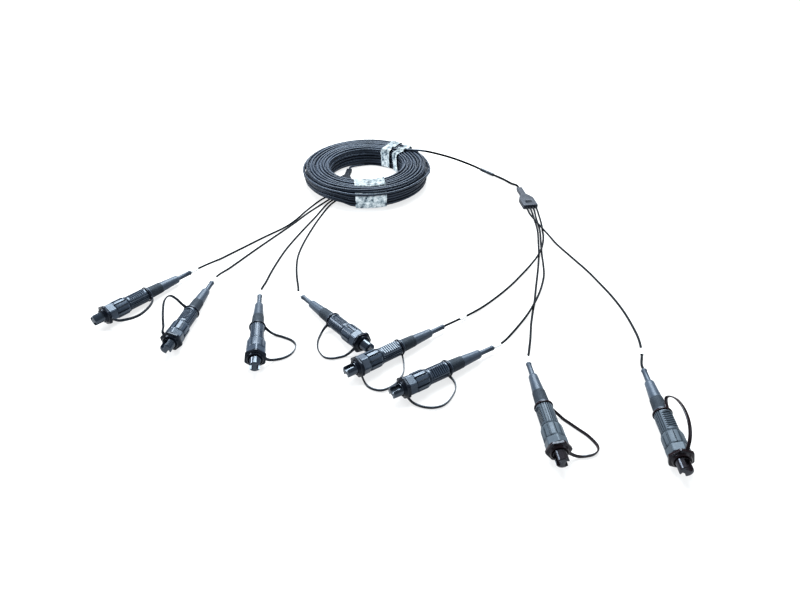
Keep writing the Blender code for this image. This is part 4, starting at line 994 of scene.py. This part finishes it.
def add_strap(bm, matrix, side_turn, own_points):
    """A flat strap with round edges, wider where it runs into the flange and into the tether ring."""
    along_floor = matrix.col[0].to_3d()
    heading = math.atan2(along_floor.y, along_floor.x)
    tip = matrix.translation
    ground = Matrix.Translation((tip.x, tip.y, 0.0)) @ Matrix.Rotation(heading, 4, "Z")
    into_plug = matrix.inverted() @ ground
    start = polar(FLANGE_BACK - 0.0015, FLANGE_APOTHEM - STRAP_THICKNESS, side_turn)
    end = polar(TETHER_MIDDLE, TETHER_OUTER_RADIUS - 0.0007, side_turn)
    own_points = [into_plug @ point for point in with_height(own_points, STRAP_ON_FLOOR)]
    line = resampled(spline_points([start, *own_points, end]), STRAP_SPACING)
    normal = loop_normal(line)
    rings = []
    count = len(line) - 1
    for i, point in enumerate(line):
        direction = (line[min(i + 1, count)] - line[max(i - 1, 0)]).normalized()
        side = normal.cross(direction).normalized()
        up = direction.cross(side)
        nearest = min(i, count - i) * STRAP_SPACING
        flare = 1.0 + 0.25 * math.exp(-((nearest / 0.0030) ** 2))
        ring = []
        for j in range(STRAP_SIDES):
            c, s = squarish(2 * math.pi * j / STRAP_SIDES, 0.45)
            ring.append(point + side * (c * (STRAP_THICKNESS / 2)) + up * (s * (STRAP_WIDTH / 2 * flare)))
        rings.append(ring)
    add_loft(bm, rings)


def add_tether(bm):
    """The ring that holds the strap on the plug, round in section."""
    middle_radius = (TETHER_INNER_RADIUS + TETHER_OUTER_RADIUS) / 2
    half_wall = (TETHER_OUTER_RADIUS - TETHER_INNER_RADIUS) / 2
    half_wide = (TETHER_BACK - TETHER_FRONT) / 2 - 0.0002
    rings = []
    for j in range(TETHER_STEPS):
        c, s = squarish(2 * math.pi * j / TETHER_STEPS, 0.6)
        rings.append(circle(TETHER_MIDDLE + c * half_wide, middle_radius + s * half_wall, HEAD_SIDES))
    add_loft(bm, rings, closed=True)


boot = boot_detail()
plug_meshes = {look: nut_detail() for look in ("nut", "nut_painted_light")}
plug_meshes.update({look: body_detail() for look in ("body", "body_painted_light")})
FIRST_WORN_AND_PAINTED_LIGHT_PLUG = 7
for number, (side_roll, nose_roll, nut_roll, grip_roll, strap_points) in PLUGS.items():
    matrix = plug_frame(number)
    side_turn = math.radians(side_roll)
    head = head_detail(math.radians(nose_roll - side_roll))
    head.transform(Matrix.Rotation(side_turn, 4, "X"))
    bm = bmesh.new()
    add_strap(bm, matrix, side_turn, strap_points)
    add_tether(bm)
    bmesh.ops.recalc_face_normals(bm, faces=bm.faces)
    bm.from_mesh(head)
    cap = bpy.data.meshes.new(f"dust_cap_detail_{number}")
    bm.to_mesh(cap)
    bm.free()
    smoothed(cap, 35.0)
    cap_look, nose_look, nut_look, body_look = "cap", "nose", "nut", "body"
    # From this plug on, the caps are the worn reddish ones, and the nut and body take the lighter copies of
    # their plastic: painted light
    if number >= FIRST_WORN_AND_PAINTED_LIGHT_PLUG:
        cap_look, nose_look, nut_look, body_look = "worn_cap", "worn_nose", "nut_painted_light", "body_painted_light"
    cap.materials.append(looks[cap_look])
    cap.materials.append(looks[nose_look])
    for polygon in cap.polygons:
        x, y, z = polygon.center
        on_nose = x < NOSE_LENGTH - 0.0006 and math.hypot(y, z) < NOSE_RADIUS + 0.0002
        polygon.material_index = int(on_nose)
    nut_turn = Matrix.Rotation(math.radians(nut_roll), 4, "X") @ Matrix.Translation((NUT_CENTRE, 0.0, 0.0))
    grip_place = matrix @ Matrix.Rotation(math.radians(grip_roll), 4, "X")
    for piece, mesh, look, slot, body, place in (
        ("dust_cap", cap, cap_look, "cap_rubber", ROOT, matrix),
        ("coupling_nut", plug_meshes[nut_look], nut_look, "nut_plastic", f"nut_{number}", matrix @ nut_turn),
        ("connector_body", plug_meshes[body_look], body_look, "body_plastic", ROOT, grip_place),
        ("boot", boot, None, "boot_rubber", ROOT, grip_place),
    ):
        placed(f"{piece}_detail_{number}", mesh, look, body, place, (f"{piece}_{number}",))


# Breakout blocks
RECESS_MIDDLE = -0.0105
RECESS_LENGTH = 0.0060
RECESS_WIDTH = 0.0095
RECESS_DEPTH = 0.0005


def block_detail(name):
    """Block with shoulders, square neck, edge rounding and the shallow recess in its top."""
    half, neck = BLOCK_WIDTH / 2, BLOCK_NECK_WIDTH / 2
    low_neck = (BLOCK_HEIGHT - BLOCK_NECK_HEIGHT) / 2
    sections = (
        (0.0, half, 0.0, BLOCK_HEIGHT), (-BLOCK_LENGTH, half, 0.0, BLOCK_HEIGHT),
        (-BLOCK_LENGTH - BLOCK_SHOULDER_BULGE, BLOCK_SHOULDER_WIDTH / 2, 0.0, BLOCK_HEIGHT),
        (-BLOCK_LENGTH - BLOCK_SHOULDER, neck, low_neck, low_neck + BLOCK_NECK_HEIGHT),
        (-BLOCK_TOTAL, neck, low_neck, low_neck + BLOCK_NECK_HEIGHT),
    )
    rings = [
        [Vector((x, y, z)) for y, z in ((-wide, low), (wide, low), (wide, high), (-wide, high))]
        for x, wide, low, high in sections
    ]
    solid = linked(f"{name}_block_solid", lofted(f"{name}_block_solid", rings))
    bm = bmesh.new()
    size = Matrix.Diagonal((RECESS_LENGTH, RECESS_WIDTH, 2 * RECESS_DEPTH, 1.0))
    place = Matrix.Translation((RECESS_MIDDLE, 0.0, BLOCK_HEIGHT))
    bmesh.ops.create_cube(bm, size=1.0, matrix=place @ size)
    cutter = linked(f"{name}_block_cutter", mesh_of(f"{name}_block_cutter", bm))
    add_bevel(solid, 0.0009, 4, 20.0)
    add_cut(solid, cutter)
    add_bevel(solid, 0.00015, 2, 60.0)
    mesh = baked(f"{name}_block_detail", solid, cutter)
    # The left block takes the darker copy of the block plastic: painted shade
    mesh.materials.append(looks["block" if name == "right" else "shaded_block"])
    mesh.materials.append(looks["recess"])
    # Faces inside the recess take the darker look: painted shade
    for face in mesh.polygons:
        x, y, z = face.center
        inside = abs(x - RECESS_MIDDLE) < RECESS_LENGTH / 2 + 0.0001 and abs(y) < RECESS_WIDTH / 2 + 0.00005
        face.material_index = int(inside and BLOCK_HEIGHT - 0.0007 < z < BLOCK_HEIGHT - 0.0001)
    return mesh


for name in BLOCKS:
    placed(
        f"{name}_block_detail", block_detail(name), None,
        place=block_frame(name), hides=(f"{name}_breakout_block",),
    )


# Tapes
TAPE_SPREAD = 0.0006
TAPE_LOW = 0.0020
TAPE_CORNER = 0.0060
TAPE_SPACING = 0.0011
TAPE_STEPS = 22
TAPE_THICKNESS = 0.00018


def envelope():
    """Coil section moved out a little: outer wall, round shoulders, top and inner wall."""
    outer, inner = COIL_OUTER_RADIUS + TAPE_SPREAD, COIL_INNER_RADIUS - TAPE_SPREAD
    top, middle = COIL_HEIGHT + TAPE_SPREAD, COIL_HEIGHT / 2
    corner, low = TAPE_CORNER, TAPE_LOW
    angles = [math.pi / 2 * i / 8 for i in range(1, 8)]
    line = [(outer - COIL_FOOT_INSET * (1 - low / middle), low), (outer, middle), (outer, top - corner)]
    line += [(outer - corner + corner * math.cos(a), top - corner + corner * math.sin(a)) for a in angles]
    line += [(outer - corner, top), (inner + corner, top)]
    line += [(inner + corner - corner * math.sin(a), top - corner + corner * math.cos(a)) for a in angles]
    line += [(inner, top - corner), (inner, low)]
    return [Vector((radius, height, 0.0)) for radius, height in line]


def add_tape(name, section, angles, width, seed, hides, dip=None):
    """A thin strip over the coil with crumpled edges, lifted where the trunk crosses under it."""
    line = resampled(section, TAPE_SPACING)
    section_middle = Vector(((COIL_INNER_RADIUS + COIL_OUTER_RADIUS) / 2, COIL_HEIGHT / 2))
    along = lengths_along(line)
    run_near = [p for p in clean[-400:] if p.z > COIL_HEIGHT]
    bm = bmesh.new()
    grid = []
    for index, point in enumerate(line):
        share = along[index] / along[-1]
        angle = angles[0] + (angles[1] - angles[0]) * share
        before, after = line[max(index - 1, 0)], line[min(index + 1, len(line) - 1)]
        tangent = (after - before).normalized()
        outward = Vector((-tangent.y, tangent.x))
        if outward.dot(Vector((point.x, point.y)) - section_middle) < 0:
            outward = -outward
        radial = heading_vector(angle)
        side = Vector((-radial.y, radial.x, 0.0))
        ragged = 0.0007 * noise.noise(Vector((share * 16.0, seed, 0.0)))
        row = []
        for j in range(TAPE_STEPS + 1):
            aside = (width + 2 * ragged) * (j / TAPE_STEPS - 0.5)
            wrinkle = noise.noise(Vector((share * 22.0, j * 0.35, seed * 3.1))) * 0.00035
            wrinkle += noise.noise(Vector((share * 60.0, j * 0.9, seed * 1.7))) * 0.00015
            lift = wrinkle + (dip(share) if dip else 0.0)
            radius = point.x + outward.x * lift
            height = point.y + outward.y * lift
            reach = math.sqrt(max(radius * radius - aside * aside, 1e-9))
            place = COIL_CENTRE + radial * reach + side * aside + Vector((0.0, 0.0, height))
            if height > COIL_HEIGHT - 0.004 and run_near:
                near = min((Vector((p.x - place.x, p.y - place.y))).length for p in run_near)
                place.z += (TRUNK_DIAMETER + 0.0001) * math.exp(-((near / 0.0034) ** 4))
            row.append(bm.verts.new(place))
        grid.append(row)
    for first, second in zip(grid, grid[1:]):
        for j in range(TAPE_STEPS):
            bm.faces.new((first[j], first[j + 1], second[j + 1], second[j]))
    piece = placed(name, mesh_of(name, bm, 60.0), "tape", hides=hides)
    skin = piece.modifiers.new("skin", "SOLIDIFY")
    skin.thickness = TAPE_THICKNESS
    skin.offset = 0.0


def under_outer_turns(share):
    """The front band dips under the coil's outermost upper turns."""
    return -0.0042 * smooth_step(0.20, 0.25, share) * (1 - smooth_step(0.42, 0.47, share))


# Bands over the coil: name, angles at their outer and inner end, width, and what they stand for
for seed, (name, first, last, width, stands_for, dip) in enumerate((
    ("front_tape", -83.0, -83.0, 0.0440, "front_tape_band", under_outer_turns),
    ("back_tape_1", 60.0, 57.0, 0.0155, "back_tape_band_1", None),
    ("back_tape_2", 50.0, 31.0, 0.0115, "back_tape_band_2", None),
), 1):
    angles = (math.radians(first), math.radians(last))
    add_tape(name, envelope(), angles, width, seed, (stands_for,), dip)
for side, degrees, bulge, seed in (("left", 190.0, 0.0006, 4), ("right", -6.0, 0.0008, 5)):
    angle = math.radians(degrees)
    section = [Vector((COIL_OUTER_RADIUS + bulge, height, 0.0)) for height in (0.0080, 0.0210)]
    add_tape(f"{side}_tape_piece", section, (angle, angle), 0.0180, seed, (f"{side}_tape_patch",))


# Floor and light. The floor gives off part of its own light, which keeps it white without strong lamps
bm = bmesh.new()
bmesh.ops.create_grid(bm, x_segments=1, y_segments=1, size=6.0)
floor = linked("floor", mesh_of("floor", bm))
floor_look = Nodes("floor_paper")
tone = floor_look.noise(floor_look.coordinates(), 30.0, 2.0)
floor_look.finish(
    floor_look.ramp(tone, ((0.0, (0.23, 0.23, 0.23)), (1.0, (0.26, 0.26, 0.26)))),
    floor_look.range(tone, 0.70, 0.80), floor_look.bump(tone, 0.0001, 0.05), Specular_IOR_Level=0.1,
    Emission_Color=(0.98, 0.99, 1.0, 1.0), Emission_Strength=0.64,
)
floor.data.materials.append(floor_look.material)

world = bpy.data.worlds.new("studio")
world.use_nodes = True
background = world.node_tree.nodes["Background"]
background.inputs["Color"].default_value = (0.92, 0.98, 1.0, 1.0)
background.inputs["Strength"].default_value = 0.34
bpy.context.scene.world = world


def softbox(name, place, size, power, colour):
    """A rectangular lamp that faces the middle of the scene."""
    data = bpy.data.lights.new(name, "AREA")
    data.shape = "RECTANGLE"
    data.size, data.size_y = size
    data.energy = power
    data.color = colour
    light = linked(name, data)
    light.location = place
    light.rotation_euler = (-Vector(place)).to_track_quat("-Z", "Y").to_euler()


softbox("overhead", (0.0, 0.85, 1.45), (1.5, 1.0), 74.0, (0.95, 1.0, 1.0))
softbox("back_strip", (0.0, 2.0, 1.45), (1.6, 0.4), 22.0, (0.94, 0.97, 1.0))
softbox("left_key", (-1.3, 0.1, 1.0), (0.5, 0.5), 16.0, (0.96, 0.98, 1.0))
softbox("right_fill", (1.4, -0.5, 0.8), (0.9, 0.9), 4.0, (1.0, 1.0, 1.0))
bpy.context.scene.view_settings.view_transform = "Standard"
bpy.context.scene.view_settings.look = "Medium High Contrast"

bpy.context.view_layer.update()
